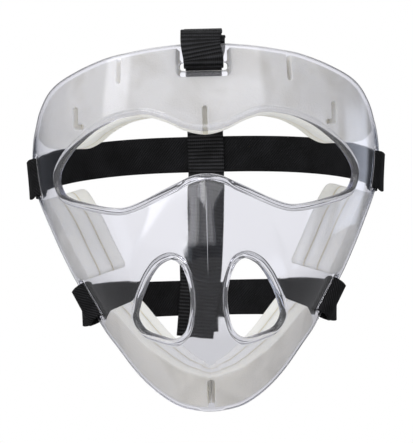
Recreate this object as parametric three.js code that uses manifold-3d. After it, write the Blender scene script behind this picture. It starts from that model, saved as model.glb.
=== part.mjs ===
// Clear face mask for field hockey: one moulded polycarbonate shell, foam pads glued inside it,
// and a harness of two elastic bands and a webbing strap over the crown.
// X runs across the face, Y from the face to the back of the head, and Z up.
// The origin is the middle of the wearer's head, level with the lower rims of the eyes.
// Left and right are the wearer's own, so left is the side of positive X.

import * as THREE from "three";
import { mergeVertices } from "three/addons/utils/BufferGeometryUtils.js";
import Module from "manifold-3d";

const wasm = await Module();
wasm.setup();

// Driving dimensions of the shell, in millimetres
const halfWidth = 91.8; // middle of the face to the outside of a temple
const maskHeight = 185.3; // chin edge to top edge
const chinDrop = 96; // chin edge below the origin
const headReach = 95; // outside of the forehead in front of the origin
const planDepth = 108.6; // semi-axis of the plan curve, from the forehead to its widest place
const wall = 2.8; // shell
const edgeRound = 0.7; // softened corner along the shell's edge
const heightOf = (share) => share * maskHeight - chinDrop;
const topEdge = heightOf(1);

// Heights on the shell are shares of its height, from 0 at the chin edge to 1 at the top edge.
// Each row gives a height and, at that height, a share of halfWidth, planDepth or noseReach.
const breadthShares = [
  [0, 0.5],
  [0.056, 0.542],
  [0.122, 0.613],
  [0.245, 0.732],
  [0.362, 0.846],
  [0.43, 0.9],
  [0.51, 0.957],
  [0.6, 1],
  [0.66, 1.016],
  [0.732, 1.02],
  [0.845, 1.016],
  [1, 0.99],
];
const profileShares = [
  [0, 0.11],
  [0.06, 0.066],
  [0.14, 0.023],
  [0.24, -0.004],
  [0.36, -0.009],
  [0.52, 0],
  [0.85, 0.005],
  [1, 0.035],
];
const noseReach = 17; // ridge in front of the cheeks
const noseReachShares = [
  [0.1, 0],
  [0.17, 0.06],
  [0.25, 0.25],
  [0.33, 0.6],
  [0.4, 0.92],
  [0.46, 1],
  [0.54, 0.92],
  [0.65, 0.52],
  [0.7, 0.1],
  [0.73, 0],
];
const noseWidthShares = [
  [0.15, 0.3],
  [0.3, 0.36],
  [0.42, 0.38],
  [0.52, 0.31],
  [0.65, 0.2],
];
const noseRoundShares = [
  [0.2, 0.12],
  [0.3, 0.05],
  [0.4, 0.003],
  [0.7, 0.003],
];
const roofPower = 1.5; // how the ridge falls away to each side

// Outer edge, from the middle of the top to the chin: shares of halfWidth and heights
const outlineShares = [
  [0, 1],
  [0.14, 0.999],
  [0.3, 0.992],
  [0.41, 0.984],
  [0.524, 0.974],
  [0.661, 0.952],
  [0.728, 0.938],
  [0.788, 0.924],
  [0.835, 0.91],
  [0.871, 0.895],
  [0.898, 0.879],
  [0.92, 0.861],
  [0.949, 0.831],
  [0.969, 0.798],
  [0.987, 0.766],
  [0.998, 0.727],
  [1, 0.7],
  [0.998, 0.67],
  [0.99, 0.635],
  [0.974, 0.601],
  [0.955, 0.5755],
  [0.898, 0.51],
  [0.833, 0.437],
  [0.765, 0.369],
  [0.593, 0.221],
  [0.518, 0.171],
  [0.444, 0.1225],
  [0.388, 0.09],
  [0.32, 0.058],
  [0.227, 0.026],
  [0.153, 0.01],
  [0, 0],
];

// Eye opening, from the middle of its upper edge to the middle of its lower edge
const eyeSide = 14.6; // shell beside the opening, seen from the front
const eyeHalfWidth = halfWidth - eyeSide;
const eyeHeight = 46.7;
const eyeBottomShare = 0.56; // height of its lowest place
const eyeBottom = heightOf(eyeBottomShare);
const eyeShares = [
  [0, 0.803],
  [0.09, 0.82],
  [0.152, 0.85],
  [0.26, 0.934],
  [0.38, 0.996],
  [0.434, 1],
  [0.536, 0.976],
  [0.588, 0.955],
  [0.72, 0.859],
  [0.83, 0.731],
  [0.9, 0.63],
  [0.964, 0.493],
  [1, 0.345],
  [0.972, 0.18],
  [0.907, 0.111],
  [0.837, 0.075],
  [0.75, 0.039],
  [0.646, 0.006],
  [0.565, 0],
  [0.509, 0.019],
  [0.407, 0.085],
  [0.291, 0.18],
  [0.185, 0.263],
  [0.1, 0.322],
  [0, 0.347],
];

// Breathing openings, each a rounded triangle beside the nose: places across, and drops from the top
const nostrilWidth = 27.7;
const nostrilHeight = 40.1;
const nostrilInset = 9.4; // middle of the face to the opening
const nostrilTopShare = 0.417;
const nostrilTop = heightOf(nostrilTopShare);
const nostrilShares = [
  [0.34, 0],
  [0.56, 0.065],
  [0.71, 0.19],
  [0.83, 0.35],
  [0.96, 0.58],
  [1, 0.75],
  [0.9, 0.87],
  [0.6, 0.96],
  [0.3, 1],
  [0.11, 0.9],
  [0.02, 0.69],
  [0, 0.46],
  [0.06, 0.23],
  [0.18, 0.06],
];

// Bead round each opening
const beadWidth = 3.3;
const beadRise = 1.1; // above the outside of the shell
const beadBackRise = 0.5; // above the inside
const beadWidthShares = [0.15, 0.5, 0.85, 1];
const beadRiseShares = [0.55, 1, 0.55, 0];
const lipShare = 0.3; // of the wall, taken off each corner at the opening

// Straps and their slots
const bandWidth = 20;
const bandThick = 1.6;
const webbingWidth = 20;
const webbingThick = 1.4;
const slotWidth = 4;
const slotSpare = 2.4; // slot longer than its strap is wide
const templeBar = 7.5; // shell behind each upper slot
const jawBar = 4.5; // shell behind each lower slot
const crownBar = 9.6; // shell above the forehead slot
const templeSlotShare = 0.648; // height of each upper slot's middle
const jawSlotShare = 0.297; // height of each lower slot's middle
const foldRadius = 3.4; // of a strap's middle round its bar
const jawFoldRadius = 5.4; // the looser bend at the jaw
const foldLength = 38; // strap end lying on the strap
const tapeThick = 1.2; // hook tape between them
const tapeLength = 20;
const tapeInset = 1.5; // from the strap's end and edges
const tapeStart = foldLength - tapeInset - tapeLength; // where strap and end have come together
const touch = 0.3; // clearance between pieces that touch

// Harness behind the head, from the origin
const bandSquareness = 2.6; // power of the bands' plan curve, where 2 is an ellipse
const bandSag = 1.4; // room for the bands' curve behind the flat webbing
const upperBack = 89; // inside of the upper band at the back
const upperRise = 37.8; // middle of the upper band above the origin
const lowerBack = 63;
const lowerDrop = 42; // middle of the lower band below the origin
const crownArch = 11.5; // top of the crown strap above the shell's top edge
const crownLift = 5.4; // strap above that edge where it turns back
const crownLead = 13.6; // level stretch behind it
const tailLength = 21; // webbing hanging below the middle of the lower band
const tailDrift = 8.4; // its end to the wearer's right
const frontDrift = 1.3; // its front to the wearer's right
const endDrift = 2.3; // its folded end to the wearer's left
const keeperWeb = 6; // sewn foot of a keeper above and below its band

// Foam pads
const foreheadLayer = 5;
const cheekLayer = 6.9;
const chinLayer = 5.3;
const topMargin = 1.4; // clear edge left above the forehead pad
const rimLip = 1.3; // foam showing below the upper rim of the eye opening
const foreheadCorner = 4;
const cheekCorner = 5;
const cheekTopShare = 0.583; // heights of the glued face's ends
const cheekBottomShare = 0.359;
const cheekTop = heightOf(cheekTopShare);
const cheekBottom = heightOf(cheekBottomShare);
const cheekTopWidth = 14.5;
const cheekBottomWidth = 15.5;
const cheekMargin = 1.2; // clear edge left behind a cheek pad
const chinMargin = 1.2;
const chinWidth = 20.5; // where the pad is widest, beside the chin
const chinWidthShares = [
  [0, 0.88],
  [0.22, 1],
  [0.38, 0.87],
  [0.5, 0.78],
];
const chinTopShare = 0.232; // height of the chin pad's ends
const chinTop = heightOf(chinTopShare);
const chinCorner = 3;
const cutWidth = 2.6; // relief cut in the forehead pad
const cutLength = 12;
const cutFoot = 6; // short leg of a bent relief cut
const crownNotchWidth = 28.5; // in the forehead pad round the forehead slot
const crownNotchDrop = 2.5; // notch below the slot
const topCutSpread = 45; // middle of the face to each relief cut in the pad's upper edge
const topCutDepth = 18.4; // their ends below the shell's top edge
const sideCutInset = 23.8; // outside of a temple to the relief cut beside the eye
const sideCutSpread = halfWidth - sideCutInset;
const sideCutDrop = 28.8; // its end below the shell's top edge
const sideCutTop = topEdge - sideCutDrop;
const middleCutReach = 13; // relief cut over the nose, above the rim
const chinRecessWidth = 8;
const chinRecessHeight = 15.5;
const chinRecessTop = chinRecessHeight - chinDrop;
const chinSlit = 1.2;
const overrun = 30; // past both faces of what a cutter cuts

// How finely each form is drawn
const spokes = 84;
const fineness = 10; // places along the outline for each spoke
const nostrilSteps = 3; // for each row of its table
const roundSteps = 6; // half turn at a slot's end
const bodyRings = 9;
const beadSides = 8;
const probe = halfWidth / 400; // step for slopes on the shell
const foreheadStations = 34;
const foreheadRanks = 5; // faces from the lower to the upper edge
const cheekStations = 6;
const chinStations = 26;
const padRanks = 3;
const bandSteps = 26;
const crownSteps = 60;
const foldSteps = 16;
const bendSteps = 8;
const tapeSteps = 5;

// A smooth value between the rows of a table, each row being a place and a value.
function follow(table, at) {
  const last = table.length - 1;
  let i = 1;
  while (i < last && table[i][0] < at) i += 1;
  const slope = (a, b) => (table[b][1] - table[a][1]) / (table[b][0] - table[a][0]);
  const span = table[i][0] - table[i - 1][0];
  const leave = slope(Math.max(i - 2, 0), i) * span;
  const arrive = slope(i - 1, Math.min(i + 1, last)) * span;
  const t = THREE.MathUtils.clamp((at - table[i - 1][0]) / span, 0, 1);
  const rest = 1 - t;
  const fromStart = table[i - 1][1] * (1 + 2 * t) + leave * t;
  const fromEnd = table[i][1] * (1 + 2 * rest) - arrive * rest;
  return fromStart * rest * rest + fromEnd * t * t;
}

const heightShare = (z) => (z + chinDrop) / maskHeight;
const breadth = (z) => halfWidth * follow(breadthShares, heightShare(z));

// A place on the shell is a Vector2: the angle round the head as a length, and the height.
const spot = (x, z) => new THREE.Vector2(Math.asin(x / breadth(z)) * halfWidth, z);

// The outside of the shell: an ellipse in plan, narrower towards the jaw, with the nose ridge in front.
function outside(place) {
  const share = heightShare(place.y);
  const angle = place.x / halfWidth;
  const x = breadth(place.y) * Math.sin(angle);
  const round = halfWidth * follow(noseRoundShares, share);
  const aside = Math.hypot(x, round) - round;
  const flank = Math.max(0, 1 - aside / (halfWidth * follow(noseWidthShares, share)));
  const ridge = noseReach * follow(noseReachShares, share) * flank ** roofPower;
  const back = planDepth * (follow(profileShares, share) + 1 - Math.cos(angle));
  return new THREE.Vector3(x, back - ridge - headReach, place.y);
}

// The way on the surface that a small step of a place makes, and the way straight in through the wall.
function heading(place, step) {
  const small = step.clone().setLength(probe);
  return outside(place.clone().add(small)).sub(outside(place.clone().sub(small))).normalize();
}
function inward(place) {
  const across = heading(place, new THREE.Vector2(1, 0));
  const up = heading(place, new THREE.Vector2(0, 1));
  return up.cross(across).normalize();
}
const beneath = (place, depth) => outside(place).addScaledVector(inward(place), depth);

// A closed curve of places through a half outline and its mirror image, starting at the top.
function mirroredCurve(half, count) {
  const back = half.slice(1, -1).reverse();
  const all = [...half, ...back.map((p) => new THREE.Vector2(-p.x, p.y))];
  const curve = new THREE.CatmullRomCurve3(all.map((p) => new THREE.Vector3(p.x, p.y, 0)), true);
  return curve.getSpacedPoints(count).slice(0, count).map((p) => new THREE.Vector2(p.x, p.y));
}

// The ways square to a closed curve of places, pointing out of it when it runs clockwise.
function outwardWays(curve) {
  return curve.map((_, i) => {
    const next = curve[(i + 1) % curve.length];
    const before = curve[(i + curve.length - 1) % curve.length];
    const along = next.clone().sub(before).normalize();
    return new THREE.Vector2(-along.y, along.x);
  });
}

// A closed surface through rings of equally many points; an open row of rings gets an end at each side.
// The first half of a ring is one face of the piece, and the second half is the other, going back.
function loft(rings, closed) {
  const count = rings[0].length;
  const faces = [];
  const quad = (a, b, c, d) => faces.push(a, b, c, a, c, d);
  rings.forEach((_, i) => {
    if (!closed && i === rings.length - 1) return;
    const here = i * count;
    const there = ((i + 1) % rings.length) * count;
    for (let j = 0; j < count; j += 1) {
      const k = (j + 1) % count;
      quad(here + j, here + k, there + k, there + j);
    }
  });
  if (!closed) {
    const end = (rings.length - 1) * count;
    for (let j = 0; j < count / 2 - 1; j += 1) {
      quad(j, count - 1 - j, count - 2 - j, j + 1);
      quad(end + j, end + j + 1, end + count - 2 - j, end + count - 1 - j);
    }
  }
  const geometry = new THREE.BufferGeometry().setFromPoints(rings.flat());
  geometry.setIndex(faces);
  return facingOut(geometry);
}

// Turns every face round if the closed surface is inside out.
function facingOut(geometry) {
  const index = geometry.index.array;
  const place = geometry.attributes.position;
  const corner = (i) => new THREE.Vector3().fromBufferAttribute(place, index[i]);
  let volume = 0;
  for (let i = 0; i < index.length; i += 3) {
    volume += corner(i).dot(corner(i + 1).cross(corner(i + 2)));
  }
  if (volume < 0) {
    for (let i = 0; i < index.length; i += 3) [index[i], index[i + 1]] = [index[i + 1], index[i]];
  }
  return geometry;
}

// Booleans
function welded(geometry) {
  const plain = geometry.clone();
  plain.deleteAttribute("normal");
  plain.deleteAttribute("uv");
  return mergeVertices(plain);
}
function solid(geometry) {
  const closed = welded(geometry);
  const mesh = { numProp: 3, vertProperties: closed.attributes.position.array };
  mesh.triVerts = new Uint32Array(closed.index.array);
  return new wasm.Manifold(new wasm.Mesh(mesh));
}
function geometryOf(body) {
  const mesh = body.getMesh();
  const geometry = new THREE.BufferGeometry();
  geometry.setAttribute("position", new THREE.BufferAttribute(mesh.vertProperties, 3));
  geometry.setIndex(new THREE.BufferAttribute(mesh.triVerts, 1));
  return geometry;
}
const cut = (body, cutters) => cutters.reduce((left, cutter) => left.subtract(solid(cutter)), body);
const mirror = (geometry) => facingOut(welded(geometry).scale(-1, 1, 1));

// A cutter with round ends, its middle at the seat: long and wide across the wall, deep through it.
function slotCutter(seat, long, wide, deep) {
  const outline = new THREE.Shape();
  const round = wide / 2;
  const straight = Math.max(long / 2 - round, 0);
  outline.moveTo(-straight, -round);
  outline.lineTo(straight, -round);
  outline.absarc(straight, 0, round, -Math.PI / 2, Math.PI / 2, false);
  outline.lineTo(-straight, round);
  outline.absarc(-straight, 0, round, Math.PI / 2, Math.PI * 1.5, false);
  const form = { depth: deep, bevelEnabled: false, curveSegments: roundSteps };
  const cutter = new THREE.ExtrudeGeometry(outline, form);
  const turn = new THREE.Matrix4().makeBasis(seat.along, seat.across, seat.inward);
  return cutter.translate(0, 0, -deep / 2).applyMatrix4(turn.setPosition(seat.middle));
}

// A seat is a slot in the wall: its middle, and the ways along it, across it to the edge, and inward.
function seatAt(place, alongStep) {
  const way = inward(place);
  const along = heading(place, alongStep);
  const across = new THREE.Vector3().crossVectors(way, along).normalize();
  return { middle: beneath(place, wall / 2), along, across, inward: way };
}
const onSeat = (seat, across, deep) =>
  seat.middle.clone().addScaledVector(seat.across, across).addScaledVector(seat.inward, deep);

// The outline, and places set in from it
const outlinePlaces = outlineShares.map(([x, share]) => {
  const z = heightOf(share);
  return spot(x * halfWidth, z);
});
const outline = mirroredCurve(outlinePlaces, spokes);
const fineOutline = mirroredCurve(outlinePlaces, spokes * fineness);
const fineWays = outwardWays(fineOutline);

// The place set in from the wearer's left edge of the shell at a height, and the way up along that edge.
function setIn(z, distance) {
  const half = fineOutline.length / 2;
  const nearest = (i) => Math.abs(fineOutline[i].y - z);
  let best = 1;
  for (let i = 1; i < half; i += 1) if (nearest(i) < nearest(best)) best = i;
  const up = fineOutline[best - 1].clone().sub(fineOutline[best + 1]).normalize();
  return { place: fineOutline[best].clone().addScaledVector(fineWays[best], -distance), up };
}

function slotSeat(share, bar) {
  const { place, up } = setIn(heightOf(share), bar + slotWidth / 2);
  return seatAt(place, up);
}
const templeSeat = slotSeat(templeSlotShare, templeBar);
const jawSeat = slotSeat(jawSlotShare, jawBar);
const crownPlace = new THREE.Vector2(0, topEdge - crownBar - slotWidth / 2);
const crownSeat = seatAt(crownPlace, new THREE.Vector2(-1, 0));

const eyePlace = ([x, share]) => spot(x * eyeHalfWidth, eyeBottom + share * eyeHeight);

// The shell is one closed ring of sections: from the bead at the eye opening out to the edge and back.
function shellBody() {
  const eye = mirroredCurve(eyeShares.map(eyePlace), spokes);
  const eyeWays = outwardWays(eye);
  const edgeWays = outwardWays(outline);
  const sections = eye.map((start, i) => {
    const rise = [{ place: start, front: -wall * lipShare, back: -wall * lipShare }];
    beadWidthShares.forEach((share, k) => {
      const place = start.clone().addScaledVector(eyeWays[i], share * beadWidth);
      rise.push({ place, front: beadRiseShares[k] * beadRise, back: beadRiseShares[k] * beadBackRise });
    });
    const from = rise[rise.length - 1].place;
    const to = outline[i].clone().addScaledVector(edgeWays[i], -edgeRound);
    for (let k = 1; k <= bodyRings; k += 1) {
      rise.push({ place: from.clone().lerp(to, k / bodyRings), front: 0, back: 0 });
    }
    rise.push({ place: outline[i], front: -edgeRound, back: -edgeRound });
    const front = rise.map((r) => beneath(r.place, -r.front));
    const back = rise.map((r) => beneath(r.place, wall + r.back));
    return [...front, ...back.reverse()];
  });
  let body = solid(loft(sections, true));
  const openings = nostril();
  body = cut(body, [openings.cutter, mirror(openings.cutter)]);
  body = body.add(solid(openings.bead)).add(solid(mirror(openings.bead)));
  const bandSlot = (seat) => slotCutter(seat, bandWidth + slotSpare, slotWidth, wall + slotWidth * 2);
  const sideSlots = [bandSlot(templeSeat), bandSlot(jawSeat)];
  const crownSlot = slotCutter(crownSeat, webbingWidth + slotSpare * 2, slotWidth, wall + slotWidth * 2);
  return cut(body, [...sideSlots, ...sideSlots.map(mirror), crownSlot]);
}

// A breathing opening on the wearer's left: what it cuts away, and the bead that finishes its edge.
function nostril() {
  const edge = nostrilShares.map(([x, drop]) =>
    spot(nostrilInset + x * nostrilWidth, nostrilTop - drop * nostrilHeight),
  );
  const points = edge.map((p) => new THREE.Vector3(p.x, p.y, 0));
  const count = nostrilShares.length * nostrilSteps;
  const smooth = new THREE.CatmullRomCurve3(points, true).getSpacedPoints(count).slice(0, count);
  const curve = smooth.map((p) => new THREE.Vector2(p.x, p.y));
  const ways = outwardWays(curve);
  const middle = curve.map((p, i) => p.clone().addScaledVector(ways[i], beadWidth / 2));
  const face = new THREE.Shape(middle.map((p) => new THREE.Vector2(outside(p).x, p.y)));
  const cutter = new THREE.ExtrudeGeometry(face, { depth: overrun * 2, bevelEnabled: false });
  cutter.rotateX(Math.PI / 2).translate(0, overrun - headReach, 0);
  const high = (wall + beadRise + beadBackRise) / 2;
  const rings = middle.map((p, i) => {
    const centre = beneath(p, high - beadRise);
    const deep = inward(p);
    const out = heading(p, ways[i]);
    return Array.from({ length: beadSides }, (_, k) => {
      const turn = (k / beadSides) * 2 * Math.PI;
      const aside = (Math.cos(turn) * beadWidth) / 2;
      return centre.clone().addScaledVector(out, aside).addScaledVector(deep, Math.sin(turn) * high);
    });
  });
  return { cutter, bead: loft(rings, true) };
}

// A flat strap along a path of points, each with the way across the strap.
function ribbon(path, width, thick) {
  const last = path.length - 1;
  return loft(
    path.map((step, i) => {
      const before = path[Math.max(i - 1, 0)].point;
      const along = path[Math.min(i + 1, last)].point.clone().sub(before).normalize();
      const deep = new THREE.Vector3().crossVectors(along, step.wide).normalize();
      const wide = new THREE.Vector3().crossVectors(deep, along).normalize();
      const corner = (a, b) =>
        step.point.clone().addScaledVector(wide, (a * width) / 2).addScaledVector(deep, (b * thick) / 2);
      return [corner(-1, -1), corner(1, -1), corner(1, 1), corner(-1, 1)];
    }),
    false,
  );
}

// A strap's main run, from its bar to the back of the head, with the way across it at each place.
// Its bend comes through the middle of the slot, and it turns from the slot's slant before its tape.
function mainRun(seat, radius, thick, points, wideStart, wideEnd) {
  const curve = new THREE.CatmullRomCurve3([onSeat(seat, radius, -radius), ...points]);
  curve.arcLengthDivisions = 600;
  const length = curve.getLength();
  const at = (distance) => {
    const share = THREE.MathUtils.clamp(distance / length, 0, 1);
    const turned = THREE.MathUtils.smoothstep(distance, 0, tapeStart);
    const wide = wideStart.clone().lerp(wideEnd, turned).normalize();
    const deep = new THREE.Vector3().crossVectors(wide, curve.getTangentAt(share)).normalize();
    return { point: curve.getPointAt(share), wide, deep };
  };
  return { seat, radius, length, thick, at };
}

const foldGap = (run) => run.thick + tapeThick + touch * 2;

// How far inside its main run a folded end lies: two bend radii at the bar, then down onto the tape.
function foldOffset(run, bar, distance) {
  const barEnd = slotWidth / 2 + bar - run.radius;
  const fall = THREE.MathUtils.smoothstep(distance, barEnd, tapeStart - tapeInset);
  return THREE.MathUtils.lerp(run.radius * 2, foldGap(run), fall);
}

// The folded end, from its cut to the bar, then the bend through the slot.
function foldedEnd(run, bar, drift) {
  const path = [];
  for (let k = 0; k < foldSteps; k += 1) {
    const distance = foldLength * (1 - k / foldSteps);
    const here = run.at(distance);
    here.point.addScaledVector(here.deep, foldOffset(run, bar, distance));
    here.point.addScaledVector(here.wide, drift * THREE.MathUtils.smoothstep(distance, 0, bar));
    path.push(here);
  }
  for (let k = 0; k < bendSteps; k += 1) {
    const turn = (k / bendSteps) * Math.PI;
    const across = run.radius * (1 - Math.sin(turn));
    path.push({ point: onSeat(run.seat, across, run.radius * Math.cos(turn)), wide: run.at(0).wide });
  }
  return path;
}

function alongRun(run, steps) {
  return Array.from({ length: steps + 1 }, (_, k) => run.at((run.length * k) / steps));
}

// The hook tape between a folded end and its strap.
function hookTape(run, width) {
  const path = Array.from({ length: tapeSteps + 1 }, (_, k) => {
    const here = run.at(tapeStart + (tapeLength * k) / tapeSteps);
    here.point.addScaledVector(here.deep, foldGap(run) / 2);
    return here;
  });
  return ribbon(path, width - tapeInset * 2, tapeThick);
}

// Half a band on the wearer's left: from its bar round the head to the middle of the back.
const bandTurnShares = [0.16, 0.34, 0.52, 0.7, 0.86, 1]; // of the quarter turn from a temple to the back
function bandRun(seat, bar, radius, backReach, backHeight, lean) {
  const leave = onSeat(seat, slotWidth / 2 + bar, -radius);
  const back = new THREE.Vector3(0, backReach + bandThick / 2, backHeight);
  const points = bandTurnShares.map((share) => {
    const angle = (share * Math.PI) / 2;
    const x = leave.x * Math.cos(angle) ** (2 / bandSquareness);
    const y = THREE.MathUtils.lerp(leave.y, back.y, Math.sin(angle) ** (2 / bandSquareness));
    const z = THREE.MathUtils.lerp(leave.z, back.z, Math.sin(angle));
    return new THREE.Vector3(x, y, z);
  });
  const up = new THREE.Vector3(0, lean, 1).normalize();
  return mainRun(seat, radius, bandThick, [leave, ...points], seat.along, up);
}
const mirroredStep = (step) => ({
  point: new THREE.Vector3(-step.point.x, step.point.y, step.point.z),
  wide: new THREE.Vector3(-step.wide.x, step.wide.y, step.wide.z),
});
function band(run, bar) {
  const left = [...foldedEnd(run, bar, 0), ...alongRun(run, bandSteps)];
  const right = left.slice(0, -1).map(mirroredStep).reverse();
  return ribbon([...left, ...right], bandWidth, bandThick);
}
const tailSlope = (upperBack - lowerBack) / (upperRise + lowerDrop);
const upperRun = bandRun(templeSeat, templeBar, foldRadius, upperBack, upperRise, 0);
const lowerRun = bandRun(jawSeat, jawBar, jawFoldRadius, lowerBack, -lowerDrop, tailSlope);

// The crown strap: up the front of its bar, over the crown, and down inside both bands.
// Rows give a share of the way from the middle of the head to its front or back, and of the arch.
const crownFrontShares = [
  [0.5, 0.95],
  [0.12, 1],
];
const crownBackShares = [
  [0.38, 0.9],
  [0.74, 0.62],
  [0.94, 0.36],
];
const driftShares = [0.3, 0.6, 0.7, 1]; // between the bands, over, at and under the lower one
const webbingInset = webbingThick / 2 + touch + bandSag;
const crownRun = (() => {
  const front = onSeat(crownSeat, slotWidth / 2 + crownBar, -foldRadius);
  const arch = topEdge + crownArch;
  const back = upperBack - webbingInset;
  const beside = bandWidth / 2 + slotSpare;
  const over = (reach, share) => new THREE.Vector3(0, reach, THREE.MathUtils.lerp(upperRise, arch, share));
  const low = (rise, share) =>
    new THREE.Vector3(-tailDrift * share, lowerBack - webbingInset + tailSlope * rise, rise - lowerDrop);
  const start = (reach, rise) => new THREE.Vector3(-frontDrift, front.y + reach, topEdge + rise);
  const points = [
    front.setX(-frontDrift),
    start(foldRadius, crownLift),
    start(crownLead, foldRadius + webbingThick + slotSpare),
    ...crownFrontShares.map(([reach, share]) => over(-reach * headReach, share)),
    ...crownBackShares.map(([reach, share]) => over(reach * back, share)),
    new THREE.Vector3(0, back, upperRise + beside),
    new THREE.Vector3(0, back, upperRise - beside),
    low((upperRise + lowerDrop) / 2, driftShares[0]),
    low(beside, driftShares[1]),
    low(-tailLength, driftShares[3]),
  ];
  const across = new THREE.Vector3(-1, 0, 0);
  return mainRun(crownSeat, foldRadius, webbingThick, points, across, across);
})();
function crownStrap() {
  const folded = foldedEnd(crownRun, crownBar, -endDrift);
  return ribbon([...folded, ...alongRun(crownRun, crownSteps)], webbingWidth, webbingThick);
}

// A keeper: a short webbing loop behind the crown strap, sewn above and below its band.
function keeper(height, backReach, drift, slope) {
  const half = bandWidth / 2 + slotSpare;
  const flat = touch + webbingThick / 2 - bandSag;
  const raised = bandThick + touch * 2 + webbingThick / 2;
  const stations = [
    [half + keeperWeb, flat],
    [half + raised - flat, flat],
    [half, raised],
    [-half, raised],
    [flat - half - raised, flat],
    [-half - keeperWeb, flat],
  ];
  const path = stations.map(([up, out]) => ({
    point: new THREE.Vector3(-drift, backReach + out + slope * up, height + up),
    wide: new THREE.Vector3(-1, 0, 0),
  }));
  return ribbon(path, webbingWidth, webbingThick);
}

// One foam layer: rows of places across the piece, with its outer and inner face over each place.
function layer(rows, outer, inner) {
  return loft(
    rows.map((row) => [...row.map(outer), ...row.map(inner).reverse()]),
    false,
  );
}

// Rows of places between two edges, with the corners at both ends rounded.
const cornerShares = [0, 0.12, 0.4, 1];
const mostTrimShare = 0.45; // of a row, off each side
function strip(firstEdge, secondEdge, length, corner, stations, across) {
  const ends = cornerShares.map((share) => (share * corner) / length);
  const inner = Array.from({ length: stations }, (_, k) => k + 1).map((k) =>
    THREE.MathUtils.lerp(ends[ends.length - 1], 1 - ends[ends.length - 1], k / (stations + 1)),
  );
  const all = [...ends, ...inner, ...ends.map((end) => 1 - end).reverse()];
  return all.map((share) => {
    const first = firstEdge(share);
    const second = secondEdge(share);
    const width = first.distanceTo(second);
    const near = Math.min(share, 1 - share) * length;
    const short = Math.max(corner - near, 0);
    const rounding = corner - Math.sqrt(corner * corner - short * short);
    const trim = Math.min(rounding / width, mostTrimShare);
    return Array.from({ length: across + 1 }, (_, k) =>
      first.clone().lerp(second, THREE.MathUtils.lerp(trim, 1 - trim, k / across)),
    );
  });
}

// The forehead pad lies between the shell's top edge and the upper rim of the eye opening.
// Beyond the rim its lower edge goes on to its ends, in the eye opening's shares.
const rimRows = 9;
const padEndShares = [
  [0.81, 0.76],
  [0.9, 0.7],
  [1, 0.7],
  [1.09, 0.72],
];
const padSideShare = 0.77; // height where the pad's upper edge ends
function foreheadRows() {
  const half = [...eyeShares.slice(0, rimRows), ...padEndShares].map(eyePlace);
  const low = half.map((p) => p.sub(new THREE.Vector2(0, rimLip)));
  const wearersRight = low.slice(1).reverse().map((p) => new THREE.Vector2(-p.x, p.y));
  const lowCurve = new THREE.SplineCurve([...wearersRight, ...low]);
  let reach = 0;
  while (fineOutline[reach].y > heightOf(padSideShare)) reach += 1;
  const count = fineOutline.length;
  const topAt = (s) => {
    const k = (count + Math.round(THREE.MathUtils.lerp(-reach, reach, s))) % count;
    return fineOutline[k].clone().addScaledVector(fineWays[k], -topMargin);
  };
  const lowAt = (s) => lowCurve.getPointAt(s);
  return strip(lowAt, topAt, lowCurve.getLength(), foreheadCorner, foreheadStations, foreheadRanks);
}
function foreheadCutters() {
  const upright = new THREE.Vector2(0, 1);
  const level = new THREE.Vector2(1, 0);
  const deep = overrun * 2;
  const cutAt = (x, z, step, long, wide) => slotCutter(seatAt(spot(x, z), step), long, wide, deep);
  const notchHeight = crownBar + slotWidth + crownNotchDrop + overrun;
  const notch = cutAt(0, topEdge + overrun - notchHeight / 2, level, crownNotchWidth, notchHeight);
  const topLength = topCutDepth + cutLength;
  const top = cutAt(topCutSpread, topEdge - topCutDepth + topLength / 2, upright, topLength, cutWidth);
  const side = cutAt(sideCutSpread, sideCutTop - cutLength / 2, upright, cutLength, cutWidth);
  const footAt = sideCutSpread - (cutFoot - cutWidth) / 2;
  const foot = cutAt(footAt, sideCutTop - cutLength + cutWidth / 2, level, cutFoot, cutWidth);
  const middleLength = middleCutReach + cutLength;
  const middleTop = eyePlace(eyeShares[0]).y + middleCutReach;
  const middle = cutAt(0, middleTop - middleLength / 2, upright, middleLength, cutWidth);
  return { notch: [notch], relief: [top, mirror(top), side, mirror(side), foot, mirror(foot), middle] };
}

// A cheek pad on the wearer's left: flat layers stacked square to the wall at the pad's middle.
function cheekRows() {
  const back = (s) => setIn(THREE.MathUtils.lerp(cheekTop, cheekBottom, s), cheekMargin).place;
  const front = (s) => {
    const width = THREE.MathUtils.lerp(cheekTopWidth, cheekBottomWidth, s);
    return back(s).sub(new THREE.Vector2(width, 0));
  };
  const length = back(0).distanceTo(back(1));
  return strip(back, front, length, cheekCorner, cheekStations, padRanks);
}
function cheekLayers() {
  const rows = cheekRows();
  const middle = new THREE.Vector2();
  rows.flat().forEach((p) => middle.addScaledVector(p, 1 / rows.flat().length));
  const glued = (p) => beneath(p, wall + touch);
  const centre = glued(middle);
  const way = inward(middle);
  const level = (depth) => (p) => {
    const base = glued(p);
    return base.addScaledVector(way, depth - base.clone().sub(centre).dot(way));
  };
  const step = cheekLayer + touch;
  return {
    outer: layer(rows, glued, level(cheekLayer)),
    middle: layer(rows, level(step), level(step + cheekLayer)),
    inner: layer(rows, level(step * 2), level(step * 2 + cheekLayer)),
  };
}

// The chin pad follows the shell's edge from jaw to jaw.
function chinRows() {
  const half = fineOutline.length / 2;
  let first = half;
  while (fineOutline[first].y < chinTop) first -= 1;
  const last = fineOutline.length - first;
  const at = (s, distance) => {
    const k = Math.round(THREE.MathUtils.lerp(first, last, s));
    return fineOutline[k].clone().addScaledVector(fineWays[k], -distance);
  };
  const steps = fineOutline.slice(first, last).map((p, i) => p.distanceTo(fineOutline[first + i + 1]));
  const length = steps.reduce((sum, step) => sum + step);
  const width = (s) => chinWidth * follow(chinWidthShares, Math.min(s, 1 - s));
  const edge = (s) => at(s, chinMargin);
  const inside = (s) => at(s, chinMargin + width(s));
  return strip(edge, inside, length, chinCorner, chinStations, padRanks);
}

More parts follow.
